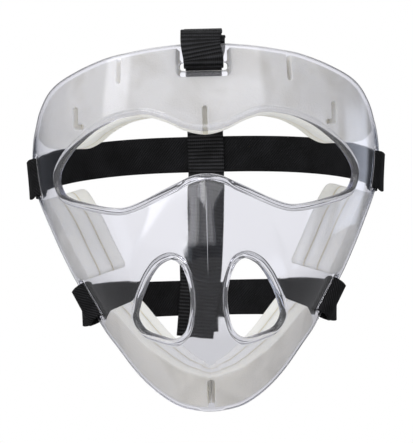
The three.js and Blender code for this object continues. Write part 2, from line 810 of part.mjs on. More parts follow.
// Materials, each with the colour of the real one
const clear = { color: 0xe6e7ee, roughness: 0.08, metalness: 0, transparent: true, opacity: 0.35 };
const whiteFoam = { color: 0xd6d4d0, roughness: 0.95, metalness: 0 };
const creamFoam = { color: 0xcfcbc2, roughness: 0.95, metalness: 0 };
const blackElastic = { color: 0x1b1b1c, roughness: 0.85, metalness: 0 };
const blackWebbing = { color: 0x202021, roughness: 0.7, metalness: 0 };
const blackHook = { color: 0x161617, roughness: 0.9, metalness: 0 };

const mask = new THREE.Group();
function add(name, geometry, look) {
  const mesh = new THREE.Mesh(geometry, new THREE.MeshStandardMaterial(look));
  mesh.name = name;
  mask.add(mesh);
}

add("shell", geometryOf(shellBody()), clear);

const padRows = foreheadRows();
const padCutters = foreheadCutters();
const padDepth = (depth) => (p) => beneath(p, depth);
const foreheadStart = wall + beadBackRise + touch;
const foreheadInner = foreheadStart + foreheadLayer + touch;
const outerPad = layer(padRows, padDepth(foreheadStart), padDepth(foreheadStart + foreheadLayer));
const innerPad = layer(padRows, padDepth(foreheadInner), padDepth(foreheadInner + foreheadLayer));
const notchedPad = cut(solid(outerPad), padCutters.notch);
add("forehead_pad_outer", geometryOf(cut(notchedPad, padCutters.relief)), whiteFoam);
add("forehead_pad_inner", geometryOf(cut(solid(innerPad), padCutters.notch)), creamFoam);

for (const [part, geometry] of Object.entries(cheekLayers())) {
  add("cheek_pad_left_" + part, geometry, whiteFoam);
  add("cheek_pad_right_" + part, mirror(geometry), whiteFoam);
}

const chin = chinRows();
const chinStep = chinLayer + touch;
const chinAt = (depth) => (p) => beneath(p, wall + touch + depth);
const chinOuter = solid(layer(chin, chinAt(0), chinAt(chinLayer)));
const chinMiddle = solid(layer(chin, chinAt(chinStep), chinAt(chinStep + chinLayer)));
const chinInner = solid(layer(chin, chinAt(chinStep * 2), chinAt(chinStep * 2 + chinLayer)));
const chinCut = (width) => {
  const low = -chinDrop - overrun;
  const box = new THREE.BoxGeometry(width, headReach, chinRecessTop - low);
  return [box.translate(0, -headReach, (chinRecessTop + low) / 2)];
};
add("chin_pad_outer", geometryOf(cut(chinOuter, chinCut(chinRecessWidth))), creamFoam);
add("chin_pad_middle", geometryOf(cut(chinMiddle, chinCut(chinSlit))), whiteFoam);
add("chin_pad_inner", geometryOf(cut(chinInner, chinCut(chinSlit))), whiteFoam);

add("upper_band", band(upperRun, templeBar), blackElastic);
add("lower_band", band(lowerRun, jawBar), blackElastic);
add("crown_webbing", crownStrap(), blackWebbing);
for (const [name, run] of [["upper_tape", upperRun], ["lower_tape", lowerRun]]) {
  add(name + "_left", hookTape(run, bandWidth), blackHook);
  add(name + "_right", mirror(hookTape(run, bandWidth)), blackHook);
}
add("crown_tape", hookTape(crownRun, webbingWidth), blackHook);
add("upper_keeper", keeper(upperRise, upperBack, 0, 0), blackWebbing);
add("lower_keeper", keeper(-lowerDrop, lowerBack, tailDrift * driftShares[2], tailSlope), blackWebbing);

export default mask;
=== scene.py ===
"""A field hockey face mask: a clear shell, foam pads behind it and a strap harness.

Lengths are in millimetres until a mesh is made, and the mask faces -Y with +Z up.
The sections follow the mask as it is put together.
"""
import math

import bmesh
import bpy
import numpy as np
from mathutils import Matrix, Vector
from mathutils.geometry import delaunay_2d_cdt


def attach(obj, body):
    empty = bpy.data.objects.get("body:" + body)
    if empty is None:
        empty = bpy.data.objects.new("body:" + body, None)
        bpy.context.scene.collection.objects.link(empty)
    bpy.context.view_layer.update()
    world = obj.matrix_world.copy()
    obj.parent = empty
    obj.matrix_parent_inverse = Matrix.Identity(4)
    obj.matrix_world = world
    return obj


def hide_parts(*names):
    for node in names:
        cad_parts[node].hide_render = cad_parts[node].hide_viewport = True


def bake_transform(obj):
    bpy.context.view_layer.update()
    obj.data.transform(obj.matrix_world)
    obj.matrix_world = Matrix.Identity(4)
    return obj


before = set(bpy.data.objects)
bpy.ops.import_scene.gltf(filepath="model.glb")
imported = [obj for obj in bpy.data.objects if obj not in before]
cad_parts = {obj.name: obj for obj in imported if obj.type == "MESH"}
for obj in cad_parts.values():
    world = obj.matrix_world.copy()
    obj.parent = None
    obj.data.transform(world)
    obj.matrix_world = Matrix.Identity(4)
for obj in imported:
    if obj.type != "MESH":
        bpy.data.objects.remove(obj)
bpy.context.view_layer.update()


# ---- Camera, backdrop and light
# A long lens straight in front of the face, turned a little so that the top leans left.
# The backdrop is plain white, and the floor is a matt pale sheet that turns white further off.
def linear(code):
    """An sRGB hex colour as linear red, green, blue and 1."""
    parts = [int(code[i : i + 2], 16) / 255 for i in (1, 3, 5)]
    return [p / 12.92 if p < 0.04045 else ((p + 0.055) / 1.055) ** 2.4 for p in parts] + [1]


def node(tree, kind, inputs=None, **settings):
    """Adds a node with its settings. An input given a socket, or a node for its first output in use,
    is linked, and any other is set."""
    made = tree.nodes.new("ShaderNode" + kind)
    for name, value in settings.items():
        setattr(made, name, value)
    for name, value in (inputs or {}).items():
        if isinstance(value, bpy.types.Node):
            value = next(output for output in value.outputs if output.enabled)
        if isinstance(value, bpy.types.NodeSocket):
            tree.links.new(value, made.inputs[name])
        else:
            made.inputs[name].default_value = value
    return made


def new_tree(owner):
    """The owner's node tree, emptied."""
    owner.use_nodes = True
    owner.node_tree.nodes.clear()
    return owner.node_tree


def new_material(name):
    made = bpy.data.materials.new(name)
    return made, new_tree(made)


PHOTO_HEIGHT, FOCAL_PIXELS, RIGHTWARD = 443, 3000, 0.8  # pixels
CAMERA_DISTANCE = 1595
LEAN = math.radians(1.35)

camera_data = bpy.data.cameras.new("camera")
camera_data.lens = camera_data.sensor_width * FOCAL_PIXELS / PHOTO_HEIGHT
camera_data.shift_x = -RIGHTWARD / PHOTO_HEIGHT
camera_data.clip_start, camera_data.clip_end = 0.05, 60
camera = bpy.data.objects.new("camera", camera_data)
camera.matrix_world = Matrix(
    (
        (math.cos(LEAN), math.sin(LEAN), 0, 0),
        (0, 0, -1, -CAMERA_DISTANCE / 1000),
        (-math.sin(LEAN), math.cos(LEAN), 0, 0),
        (0, 0, 0, 1),
    )
)
bpy.context.scene.collection.objects.link(camera)
bpy.context.scene.camera = camera
bpy.context.scene.view_settings.view_transform = "Standard"

# Where the studio's panels begin and end, as degrees round the room from the front of the face, and
# how bright each is next to the others: those above eye level, then those below it.
HIGH_PANELS = [
    (-180, 0.55), (-168, 0.55), (-160, 0.12), (-112, 0.1), (-107, 0.22), (-79, 0.22), (-76, 1.5),
    (-60, 1.6), (-57, 0.4), (43, 1.1), (47, 0.14), (108, 0.06), (140, 0.06), (160, 0.12),
    (170, 0.55), (180, 0.55),
]
LOW_PANELS = [
    (-180, 0.55), (-168, 0.55), (-160, 0.05), (-82, 0.04), (-78, 0.3), (-70, 0.28), (-66, 0.05),
    (60, 0.05), (84, 0.06), (86, 0.55), (91, 0.5), (93, 0.06), (98, 0.06), (100, 0.42), (104, 0.38),
    (106, 0.08), (111, 0.08), (114, 0.7), (136, 0.65), (141, 0.05), (160, 0.1), (170, 0.55), (180, 0.55),
]
# The sweep behind the face, as degrees above eye level: white, a little shaded low down.
SWEEP = [
    (-90, 0.5), (-40, 0.55), (-20, 0.85), (-8, 0.88), (-4, 0.66), (-2.2, 0.72), (-1.1, 0.97), (1, 1),
    (15, 1), (28, 0.62), (90, 0.55),
]
HIGH_TINT, LOW_TINT, NO_TINT = (1, 1, 1.02), (0.9, 0.97, 1.1), (1, 1, 1)
LOW_END, HIGH_START = 0.035, 0.12  # sines of the heights between which the panels change
PANEL_LEVEL, FILL_LEVEL = 1.5, 0.62

world = bpy.data.worlds.new("white studio")
bpy.context.scene.world = world
tree = new_tree(world)
rays = node(tree, "LightPath").outputs
room = node(tree, "SeparateXYZ", {0: node(tree, "TexCoord").outputs["Generated"]}).outputs
forward = node(tree, "Math", {0: room["Y"], 1: -1.0}, operation="MULTIPLY")
bearing = node(tree, "Math", {0: room["X"], 1: forward}, operation="ARCTAN2")
turned = node(tree, "MapRange", {0: bearing, 1: -math.pi, 2: math.pi})
tilted = node(tree, "MapRange", {0: room["Z"], 1: -1.0})
bands = []
for share, place_of, stops, tint in (
    (turned, lambda degrees: degrees / 360 + 0.5, HIGH_PANELS, HIGH_TINT),
    (turned, lambda degrees: degrees / 360 + 0.5, LOW_PANELS, LOW_TINT),
    (tilted, lambda degrees: math.sin(math.radians(degrees)) / 2 + 0.5, SWEEP, NO_TINT),
):
    made = node(tree, "ValToRGB", {"Fac": share})
    elements = made.color_ramp.elements
    for degrees, level in stops[1:-1]:
        elements.new(place_of(degrees))
    for stop, (degrees, level) in zip(elements, stops):
        stop.color = (level * tint[0], level * tint[1], level * tint[2], 1)
    bands.append(made)
above = node(tree, "MapRange", {0: room["Z"], 1: LOW_END, 2: HIGH_START}, interpolation_type="SMOOTHSTEP")
panels = node(tree, "Mix", {"Factor": above, "A": bands[1], "B": bands[0]}, data_type="RGBA")
shiny = node(tree, "Background", {"Color": panels, "Strength": PANEL_LEVEL})
white = node(tree, "Background", {"Color": linear("#ffffff"), "Strength": 1.0})
sweep = node(tree, "Background", {"Color": bands[2], "Strength": 1.0})
fill = node(tree, "Background", {"Color": linear("#fbfcff"), "Strength": FILL_LEVEL})
through = node(tree, "MixShader", {0: rays["Is Transmission Ray"], 1: fill, 2: sweep})
mirrored = node(tree, "Math", {0: rays["Glossy Depth"], 1: 1.0}, operation="MINIMUM")
shown = node(tree, "MixShader", {0: mirrored, 1: through, 2: shiny})
either = node(tree, "MixShader", {0: rays["Is Camera Ray"], 1: shown, 2: white})
node(tree, "OutputWorld", {"Surface": either})


def lamp(name, place, width, power):
    """A square softbox at a place in metres, turned to face the mask."""
    data = bpy.data.lights.new(name, "AREA")
    data.shape, data.size, data.energy = "SQUARE", width, power
    made = bpy.data.objects.new(name, data)
    made.location = place
    made.rotation_euler = Vector(place).to_track_quat("Z", "Y").to_euler()
    bpy.context.scene.collection.objects.link(made)


lamp("key softbox", (-1.1, -1.5, 1.6), 1.2, 16)
lamp("side softbox", (1.5, -0.9, 1.3), 1.0, 4)


def mesh_object(name, points, faces, closed=True):
    """A named object from points in millimetres: a closed one is smooth, with every face turned
    outwards, and an open one is flat."""
    mesh = bpy.data.meshes.new(name)
    mesh.from_pydata((np.asarray(points) / 1000).tolist(), [], faces)
    mesh.polygons.foreach_set("use_smooth", np.full(len(mesh.polygons), closed))
    mesh.update()
    if closed:
        work = bmesh.new()
        work.from_mesh(mesh)
        bmesh.ops.recalc_face_normals(work, faces=work.faces)
        work.to_mesh(mesh)
        work.free()
    made = bpy.data.objects.new(name, mesh)
    bpy.context.scene.collection.objects.link(made)
    return made


FLOOR_DROP, FLOOR_HALF = 160, 700
FADE_START, FADE_END = 0.3, 0.55  # metres from the mask over which the floor turns white
FLOOR_MIRRORED = 0.25  # how bright it is in a reflection

corners = np.array([(-1, -1), (1, -1), (1, 1), (-1, 1)]) * FLOOR_HALF
floor = mesh_object("floor", np.c_[corners, np.full(4, -FLOOR_DROP)], [(0, 1, 2, 3)], closed=False)
matt_floor, tree = new_material("matt white floor")
reach = node(tree, "VectorMath", {0: node(tree, "TexCoord").outputs["Object"]}, operation="LENGTH")
far = node(tree, "MapRange", {0: reach, 1: FADE_START, 2: FADE_END}, interpolation_type="SMOOTHSTEP")
rays = node(tree, "LightPath").outputs
seen = node(tree, "Math", {0: rays["Is Camera Ray"], 1: rays["Is Transmission Ray"]}, operation="MAXIMUM")
seen = node(tree, "Math", {0: seen, 1: rays["Is Glossy Ray"]}, operation="MAXIMUM")
plain = node(tree, "Math", {0: seen, 1: far}, operation="MULTIPLY")
mirrored = node(tree, "Math", {0: rays["Glossy Depth"], 1: 1.0}, operation="MINIMUM")
plain = node(tree, "Math", {0: plain, 1: mirrored}, operation="MAXIMUM")
matt = node(tree, "BsdfDiffuse", {"Color": linear("#f2f2f1")})
dim = node(tree, "MapRange", {0: mirrored, 3: 1.0, 4: FLOOR_MIRRORED})
white = node(tree, "Emission", {"Color": linear("#ffffff"), "Strength": dim})
node(tree, "OutputMaterial", {"Surface": node(tree, "MixShader", {0: plain, 1: matt, 2: white})})
floor.data.materials.append(matt_floor)


# ---- Shell
# One moulding of clear polycarbonate, 2.8 mm thick, pressed over a form: every opening
# ends in a round raised bead, and the edge and the strap slots are cut and softened.
HALF_WIDTH = 91.8
MASK_HEIGHT = 185.3
CHIN_DROP = 96
HEAD_REACH = 95
PLAN_DEPTH = 108.6
WALL = 2.8
NOSE_REACH = 17
ROOF_POWER = 1.5
TOP_EDGE = MASK_HEIGHT - CHIN_DROP
BREADTH_SHARES = [
    (0, 0.5), (0.056, 0.542), (0.122, 0.613), (0.245, 0.732), (0.362, 0.846), (0.43, 0.9),
    (0.51, 0.957), (0.6, 1), (0.66, 1.016), (0.732, 1.02), (0.845, 1.016), (1, 0.99),
]
PROFILE_SHARES = [
    (0, 0.11), (0.06, 0.066), (0.14, 0.023), (0.24, -0.004), (0.36, -0.009), (0.52, 0),
    (0.85, 0.005), (1, 0.035),
]
NOSE_REACH_SHARES = [
    (0.1, 0), (0.17, 0.06), (0.25, 0.25), (0.33, 0.6), (0.4, 0.92), (0.46, 1), (0.54, 0.92),
    (0.65, 0.52), (0.7, 0.1), (0.73, 0),
]
NOSE_WIDTH_SHARES = [(0.15, 0.3), (0.3, 0.36), (0.42, 0.38), (0.52, 0.31), (0.65, 0.2)]
NOSE_ROUND_SHARES = [(0.2, 0.12), (0.3, 0.08), (0.4, 0.065), (0.7, 0.065)]
CREASE, CREASE_SPREAD = 0.4, 3
OUTLINE_SHARES = [
    (0, 1), (0.14, 0.999), (0.3, 0.992), (0.41, 0.984), (0.524, 0.974), (0.661, 0.952),
    (0.728, 0.938), (0.788, 0.924), (0.835, 0.91), (0.871, 0.895), (0.898, 0.879), (0.92, 0.861),
    (0.949, 0.831), (0.969, 0.798), (0.987, 0.766), (0.998, 0.727), (1, 0.7), (0.998, 0.67),
    (0.99, 0.635), (0.974, 0.601), (0.955, 0.5755), (0.898, 0.51), (0.833, 0.437), (0.765, 0.369),
    (0.593, 0.221), (0.518, 0.171), (0.444, 0.1225), (0.388, 0.09), (0.32, 0.058), (0.227, 0.026),
    (0.153, 0.01), (0, 0),
]
EYE_HALF_WIDTH, EYE_HEIGHT, EYE_BOTTOM = 77.2, 46.7, 7.8
EYE_SHARES = [
    (0, 0.803), (0.09, 0.82), (0.152, 0.85), (0.26, 0.934), (0.38, 0.996), (0.434, 1), (0.536, 0.976),
    (0.588, 0.955), (0.72, 0.859), (0.83, 0.731), (0.9, 0.63), (0.964, 0.493), (1, 0.345),
    (0.972, 0.18), (0.907, 0.111), (0.837, 0.075), (0.75, 0.039), (0.646, 0.006), (0.565, 0),
    (0.509, 0.019), (0.407, 0.085), (0.291, 0.18), (0.185, 0.263), (0.1, 0.322), (0, 0.347),
]
NOSTRIL_WIDTH, NOSTRIL_HEIGHT, NOSTRIL_INSET, NOSTRIL_TOP = 27.7, 40.1, 9.4, -18.7
NOSTRIL_SHARES = [
    (0.34, 0), (0.56, 0.065), (0.71, 0.19), (0.83, 0.35), (0.96, 0.58), (1, 0.75), (0.9, 0.87),
    (0.6, 0.96), (0.3, 1), (0.11, 0.9), (0.02, 0.69), (0, 0.46), (0.06, 0.23), (0.18, 0.06),
]
BEAD_WIDTH, BEAD_RISE, BEAD_BACK_RISE, BEAD_LIP = 3.3, 1.1, 0.5, 1.0
EDGE_ROUND, SLOT_ROUND = 0.7, 0.5
CREST_CLEAR = 8
SLOT_WIDTH, SLOT_SPARE = 4, 2.4
BAND_WIDTH, WEBBING_WIDTH = 20, 20
TEMPLE_BAR, JAW_BAR, CROWN_BAR = 7.5, 4.5, 9.6
TEMPLE_SLOT_SHARE, JAW_SLOT_SHARE = 0.648, 0.297
# How far apart points lie, and the distances from a loop at which rows of points follow it.
SHEET_STEP, LOOP_STEP, FINE_STEP = 1.5, 0.9, 0.25
EDGE_RINGS = [0, 0.06, 0.2, 0.42, 0.7, 1.5]
BEAD_RINGS = [0, 0.08, 0.3, 0.65, 1.1, 1.65, 2.2, 2.7, 3.2, 3.8]
SLOT_RINGS = [0, 0.06, 0.2, 0.5]
CREST_COLUMNS = [-1.8, -1.1, -0.6, -0.25, 0, 0.25, 0.6, 1.1, 1.8]
CREST_STEP, CREST_LOW, CREST_HIGH = 1.2, 0.24, 0.71


def follow(table, at):
    """A curve through a table's rows whose slope at a row is that of the line between its neighbours."""
    place, value = np.array(table, float).T
    last = len(place) - 1
    i = np.clip(np.searchsorted(place, at), 1, last)
    span = place[i] - place[i - 1]
    before, after = np.maximum(i - 2, 0), np.minimum(i + 1, last)
    leave = (value[i] - value[before]) / (place[i] - place[before]) * span
    arrive = (value[after] - value[i - 1]) / (place[after] - place[i - 1]) * span
    t = np.clip((at - place[i - 1]) / span, 0, 1)
    rest = 1 - t
    start = value[i - 1] * (1 + 2 * t) + leave * t
    end = value[i] * (1 + 2 * rest) - arrive * rest
    return start * rest**2 + end * t**2


def height_of(share):
    return share * MASK_HEIGHT - CHIN_DROP


def outside(place):
    """The shell's outside over places (angle round the head as a length, height): an ellipse in plan,
    narrower towards the jaw, with the nose ridge, a round roof on both sides of the middle with a
    faint crease on its crest, taken off in front."""
    share = (place[..., 1] + CHIN_DROP) / MASK_HEIGHT
    angle = place[..., 0] / HALF_WIDTH
    x = HALF_WIDTH * follow(BREADTH_SHARES, share) * np.sin(angle)
    round_off = HALF_WIDTH * follow(NOSE_ROUND_SHARES, share)
    crease = CREASE * (1 - np.exp(-np.abs(x) / CREASE_SPREAD))
    aside = np.hypot(x, round_off) - round_off + crease
    flank = np.maximum(0, 1 - aside / (HALF_WIDTH * follow(NOSE_WIDTH_SHARES, share)))
    ridge = NOSE_REACH * follow(NOSE_REACH_SHARES, share) * flank**ROOF_POWER
    back = PLAN_DEPTH * (follow(PROFILE_SHARES, share) + 1 - np.cos(angle))
    return np.stack([x, back - ridge - HEAD_REACH, place[..., 1]], -1)


def unit(ways):
    return ways / np.linalg.norm(ways, axis=-1, keepdims=True)


def heading(place, step):
    """The way on the shell that a step of a place makes, taken over a 400th of the half width."""
    small = unit(np.asarray(step, float)) * HALF_WIDTH / 400
    return unit(outside(place + small) - outside(place - small))


def inward(place):
    """The way straight in through the wall: up the shell crossed with across it."""
    return unit(np.cross(heading(place, (0, 1)), heading(place, (1, 0))))


def beneath(place, depth):
    return outside(place) + inward(place) * np.asarray(depth)[..., None]


def spot(x, z):
    """The place at a sideways distance and a height."""
    breadth = HALF_WIDTH * follow(BREADTH_SHARES, (np.asarray(z) + CHIN_DROP) / MASK_HEIGHT)
    return np.stack([np.arcsin(np.asarray(x) / breadth) * HALF_WIDTH, np.asarray(z, float)], -1)


def half_edge(shares, width, height, bottom):
    """The places of one half of an edge, from shares of its half width and of its height."""
    return spot(*(np.array(shares).T * [[width], [height]] + [[0], [bottom]]))


def rounded_run(points, closed, fineness=48):
    """A smooth curve through points, each span paced by the square root of its length."""
    p = np.asarray(points, float)
    if closed:
        p = np.concatenate([p[-1:], p, p[:2]])
    else:
        p = np.concatenate([2 * p[:1] - p[1:2], p, 2 * p[-1:] - p[-2:-1]])
    a, b, c, d = p[:-3], p[1:-2], p[2:-1], p[3:]
    e, f, g = (np.sqrt(np.linalg.norm(q - r, axis=-1, keepdims=True)) for q, r in ((b, a), (c, b), (d, c)))
    leave = ((b - a) / e - (c - a) / (e + f) + (c - b) / f) * f
    arrive = ((c - b) / f - (d - b) / (f + g) + (d - c) / g) * f
    t = (np.arange(fineness) / fineness)[None, :, None]
    b, c, leave, arrive = b[:, None], c[:, None], leave[:, None], arrive[:, None]
    start = b * (1 + 2 * t) * (1 - t) ** 2 + leave * t * (1 - t) ** 2
    run = (start + c * (3 - 2 * t) * t**2 - arrive * (1 - t) * t**2).reshape(-1, p.shape[-1])
    return run if closed else np.concatenate([run, p[-2:-1]])


def mirrored_loop(half):
    """A closed run through a half outline, given from the top, and its mirror image."""
    return rounded_run(np.concatenate([half, half[1:-1][::-1] * (-1, 1)]), True)


def lengths_along(run):
    return np.concatenate([[0], np.cumsum(np.linalg.norm(np.diff(run, axis=0), axis=-1))])


def at_lengths(run, lengths):
    """Points on a run at these lengths from its start."""
    known = lengths_along(run)
    return np.stack([np.interp(lengths, known, run[:, k]) for k in range(run.shape[1])], -1)


def even_loop(run, step):
    """A closed run as points about a step apart."""
    closed = np.concatenate([run, run[:1]])
    total = lengths_along(closed)[-1]
    count = int(round(total / step))
    return at_lengths(closed, np.arange(count) * total / count)


def loop_ways(loop):
    """The ways square to a loop in its plane, pointing out of it."""
    along = unit(np.roll(loop, -1, 0) - np.roll(loop, 1, 0))
    turn = np.sum(loop[:, 0] * np.roll(loop[:, 1], -1) - loop[:, 1] * np.roll(loop[:, 0], -1))
    return np.stack([along[:, 1], -along[:, 0]], -1) * np.sign(turn)


def nearest(places, loop):
    """Each place's distance to the nearest point of a loop, in blocks of 1500 to save memory."""
    blocks = np.array_split(places, max(1, len(places) // 1500))
    return np.concatenate([np.sqrt(((block[:, None] - loop) ** 2).sum(-1).min(1)) for block in blocks])


def within(places, loop):
    """Whether each place lies in a loop: a ray to its right crosses the loop an odd number of times."""
    a, b = loop, np.roll(loop, -1, 0)
    x, y = places[:, 0:1], places[:, 1:2]
    spans = (a[:, 1] > y) != (b[:, 1] > y)
    with np.errstate(divide="ignore", invalid="ignore"):
        cross = a[:, 0] + (y - a[:, 1]) / (b[:, 1] - a[:, 1]) * (b[:, 0] - a[:, 0])
    return (np.sum(spans & (x < cross), 1) % 2) == 1


def plate(name, loops, rings, step, front, back, extra=None, rim_shares=()):
    """A sheet cut along loops in the unrolled plane, the first its edge and the rest its holes.
    Every loop has rows of points at its ring distances, and the rest is filled with an even triangle
    grid. front and back give the points of the two faces from the places and each one's distance to
    every loop, and a rim of quads joins the faces along each loop, with more rows at the rim shares."""
    least, row_gap, grid_gap, extra_gap = 0.985, 0.3 * step, 0.5 * step, 0.45 * step
    samples = [even_loop(loop, step / 3) for loop in loops]
    places, own, owner, edges = [], [], [], []
    for k, loop in enumerate(loops):
        ways = loop_ways(loop) * (1 if k else -1)
        for distance in rings[k]:
            row = loop + ways * distance
            if distance > 0:
                clear = [nearest(row, sample) for sample in samples]
                keep = clear[k] >= distance * least
                for j, room in enumerate(clear):
                    if j != k:
                        keep &= room > min(distance, rings[j][-1]) + (row_gap if j < k else 0)
                row = row[keep]
            else:
                index = sum(map(len, places)) + np.arange(len(row))
                edges += np.stack([index, np.roll(index, -1)], -1).tolist()
            places.append(row)
            own.append(np.full(len(row), distance))
            owner.append(np.full(len(row), k))
    low, high = loops[0].min(0), loops[0].max(0)
    rows = np.arange(low[1], high[1], step * math.sqrt(3) / 2)
    grid = np.stack(np.meshgrid(np.arange(low[0], high[0], step), rows), -1)
    grid[1::2, :, 0] += step / 2
    grid = grid.reshape(-1, 2)
    grid = grid[within(grid, loops[0])]
    if extra is not None:
        grid = np.concatenate([extra, grid[nearest(grid, extra) > extra_gap]])
    for k, loop in enumerate(loops):
        if k:
            grid = grid[~within(grid, loop)]
        grid = grid[nearest(grid, samples[k]) > rings[k][-1] + grid_gap]
    places.append(grid)
    own.append(np.full(len(grid), -1.0))
    owner.append(np.full(len(grid), -1))
    flat, own, owner = (np.concatenate(parts) for parts in (places, own, owner))
    joined = delaunay_2d_cdt(flat.tolist(), edges, [], 0, 1e-6, False)
    if len(joined[0]) != len(flat):
        raise ValueError(name + ": the loops cross or points coincide")
    faces = np.array(joined[2])
    on_loop = (own == 0)[faces].all(1)
    middles = flat[faces[on_loop]].mean(1)
    keep = ~on_loop
    keep[on_loop] = within(middles, loops[0]) & ~np.any([within(middles, loop) for loop in loops[1:]], 0)
    faces = faces[keep]
    gaps = [np.where(owner == k, own, nearest(flat, sample)) for k, sample in enumerate(samples)]
    count = len(flat)
    a, b, c = (flat[faces[:, k]] for k in range(3))
    turned = np.cross(b - a, c - a) < 0
    faces[turned] = faces[turned][:, ::-1]
    points = [front(flat, gaps), back(flat, gaps)]
    rim = np.array(edges)
    border = np.flatnonzero(own == 0)
    local = np.zeros(count, int)
    local[border] = np.arange(len(border))
    between = [local[rim] + 2 * count + k * len(border) for k in range(len(rim_shares))]
    rows = [rim, *between, rim + count]
    around = [np.stack([a[:, 1], a[:, 0], b[:, 0], b[:, 1]], -1) for a, b in zip(rows, rows[1:])]
    points += [points[0][border] * (1 - share) + points[1][border] * share for share in rim_shares]
    shapes = faces.tolist() + (faces[:, ::-1] + count).tolist() + np.concatenate(around).tolist()
    return mesh_object(name, np.concatenate(points), shapes), gaps


def mark(made, label, values):
    """Gives every point of a mesh a value that its material reads."""
    made.data.attributes.new(label, "FLOAT", "POINT").data.foreach_set("value", values.astype(np.float32))


def bead(distance, rise):
    """How far a bead stands proud of the sheet at a distance from its opening: a half round
    that goes over the lip on the opening's side, and a soft shoulder on the other."""
    across = np.clip(2 * distance / BEAD_WIDTH - 1, -1, 1)
    lip = (rise + BEAD_LIP) * np.sqrt(np.clip(1 - across**2, 0, 1)) - BEAD_LIP
    shoulder = rise * 0.5 * (1 + np.cos(np.pi * across))
    return np.where(across < 0, lip, shoulder)


def softened(distance, radius):
    """How far a face lies back where its corner is rounded with a radius."""
    near = np.clip(1 - distance / radius, 0, 1)
    return radius * (1 - np.sqrt(1 - near**2))


def smooth_share(value, start, end):
    """From 0 at start to 1 at end, level at both."""
    t = np.clip((value - start) / (end - start), 0, 1)
    return t * t * (3 - 2 * t)


def seat_at(place, step):
    """A slot's seat in the wall: its middle, the ways along and across it, and the way in."""
    way, along = inward(place), heading(place, step)
    across = unit(np.cross(way, along))
    return {"middle": beneath(place, WALL / 2), "along": along, "across": across, "in": way}


def on_seat(seat, across, deep):
    return seat["middle"] + seat["across"] * across + seat["in"] * deep


def slot_loop(place, step, long):
    """A slot with round ends about a place, as a loop in the unrolled plane."""
    turn = np.linspace(0, np.pi, 9)
    radius = SLOT_WIDTH / 2
    straight = long / 2 - radius
    end = np.stack([straight + radius * np.sin(turn), -radius * np.cos(turn)], -1)
    loop = even_loop(np.concatenate([end, -end]), LOOP_STEP * 0.7)
    along = unit(np.asarray(step, float))
    across = np.array([-along[1], along[0]])
    scale = [np.linalg.norm(outside(place + w) - outside(place - w)) / 2 for w in (along, across)]
    return place + loop[:, :1] * along / scale[0] + loop[:, 1:] * across / scale[1]


outline_run = mirrored_loop(half_edge(OUTLINE_SHARES, HALF_WIDTH, MASK_HEIGHT, -CHIN_DROP))
outline, fine_outline = even_loop(outline_run, LOOP_STEP), even_loop(outline_run, FINE_STEP)
fine_ways = loop_ways(fine_outline)
eye = even_loop(mirrored_loop(half_edge(EYE_SHARES, EYE_HALF_WIDTH, EYE_HEIGHT, EYE_BOTTOM)), LOOP_STEP)
across, drop = np.array(NOSTRIL_SHARES).T
nostril_edge = spot(NOSTRIL_INSET + across * NOSTRIL_WIDTH, NOSTRIL_TOP - drop * NOSTRIL_HEIGHT)
nostril = even_loop(rounded_run(nostril_edge, True), LOOP_STEP * 0.8)


def set_in(z, distance):
    """The place set in from the wearer's left edge at a height, and the way up along that edge."""
    near = np.where(fine_outline[:, 0] > 0, np.abs(fine_outline[:, 1] - z), 1e9)
    best = int(np.argmin(near))
    ahead, behind = fine_outline[(best + 1) % len(fine_outline)], fine_outline[best - 1]
    up = unit(ahead - behind)
    return fine_outline[best] - fine_ways[best] * distance, up * np.sign(up[1])


temple_place, temple_up = set_in(height_of(TEMPLE_SLOT_SHARE), TEMPLE_BAR + SLOT_WIDTH / 2)
jaw_place, jaw_up = set_in(height_of(JAW_SLOT_SHARE), JAW_BAR + SLOT_WIDTH / 2)
crown_place, crown_way = np.array([0, TOP_EDGE - CROWN_BAR - SLOT_WIDTH / 2]), (-1, 0)
temple_seat, jaw_seat = seat_at(temple_place, temple_up), seat_at(jaw_place, jaw_up)
crown_seat = seat_at(crown_place, crown_way)
flip = np.array([-1, 1])
side_slots = (temple_place, temple_up), (jaw_place, jaw_up)
slots = [slot_loop(place, up, BAND_WIDTH + SLOT_SPARE) for place, up in side_slots]
slots += [slot * flip for slot in slots]
slots.append(slot_loop(crown_place, crown_way, WEBBING_WIDTH + SLOT_SPARE * 2))


def shell_lift(gaps, rise):
    """How far a face of the shell stands out: its beads, less its softened edges."""
    lift = sum(bead(gap, rise) for gap in gaps[1:4])
    return lift - softened(gaps[0], EDGE_ROUND) - sum(softened(gap, SLOT_ROUND) for gap in gaps[4:])


def shell_front(places, gaps):
    return beneath(places, -shell_lift(gaps, BEAD_RISE))


def shell_back(places, gaps):
    """Inside the wall: straight in, but straight back beside the nose's ridge, where it can't fold.
    On the crest it lies as far back as beside it, so that the wall there bends no more light."""
    depth = WALL + shell_lift(gaps, BEAD_BACK_RISE)
    off = np.abs(places[:, :1])
    aside = np.where(places[:, :1] < 0, -1, 1) * np.maximum(off, CREST_CLEAR)
    beside = inward(np.concatenate([aside, places[:, 1:]], 1))
    leaning = (0, 1, 0) / np.maximum(beside[:, 1:2], 0.3)
    share = smooth_share(off, CREST_CLEAR, CREST_CLEAR * 2)
    return outside(places) + (leaning * (1 - share) + inward(places) * share) * depth[:, None]


crest_rows = np.arange(height_of(CREST_LOW), height_of(CREST_HIGH), CREST_STEP)
crest = np.stack(np.meshgrid(CREST_COLUMNS, crest_rows), -1).reshape(-1, 2)
shell, shell_gaps = plate(
    "clear_shell", [outline, eye, nostril, nostril * flip, *slots],
    [EDGE_RINGS] + [BEAD_RINGS] * 3 + [SLOT_RINGS] * 5, SHEET_STEP, shell_front, shell_back, crest,
)
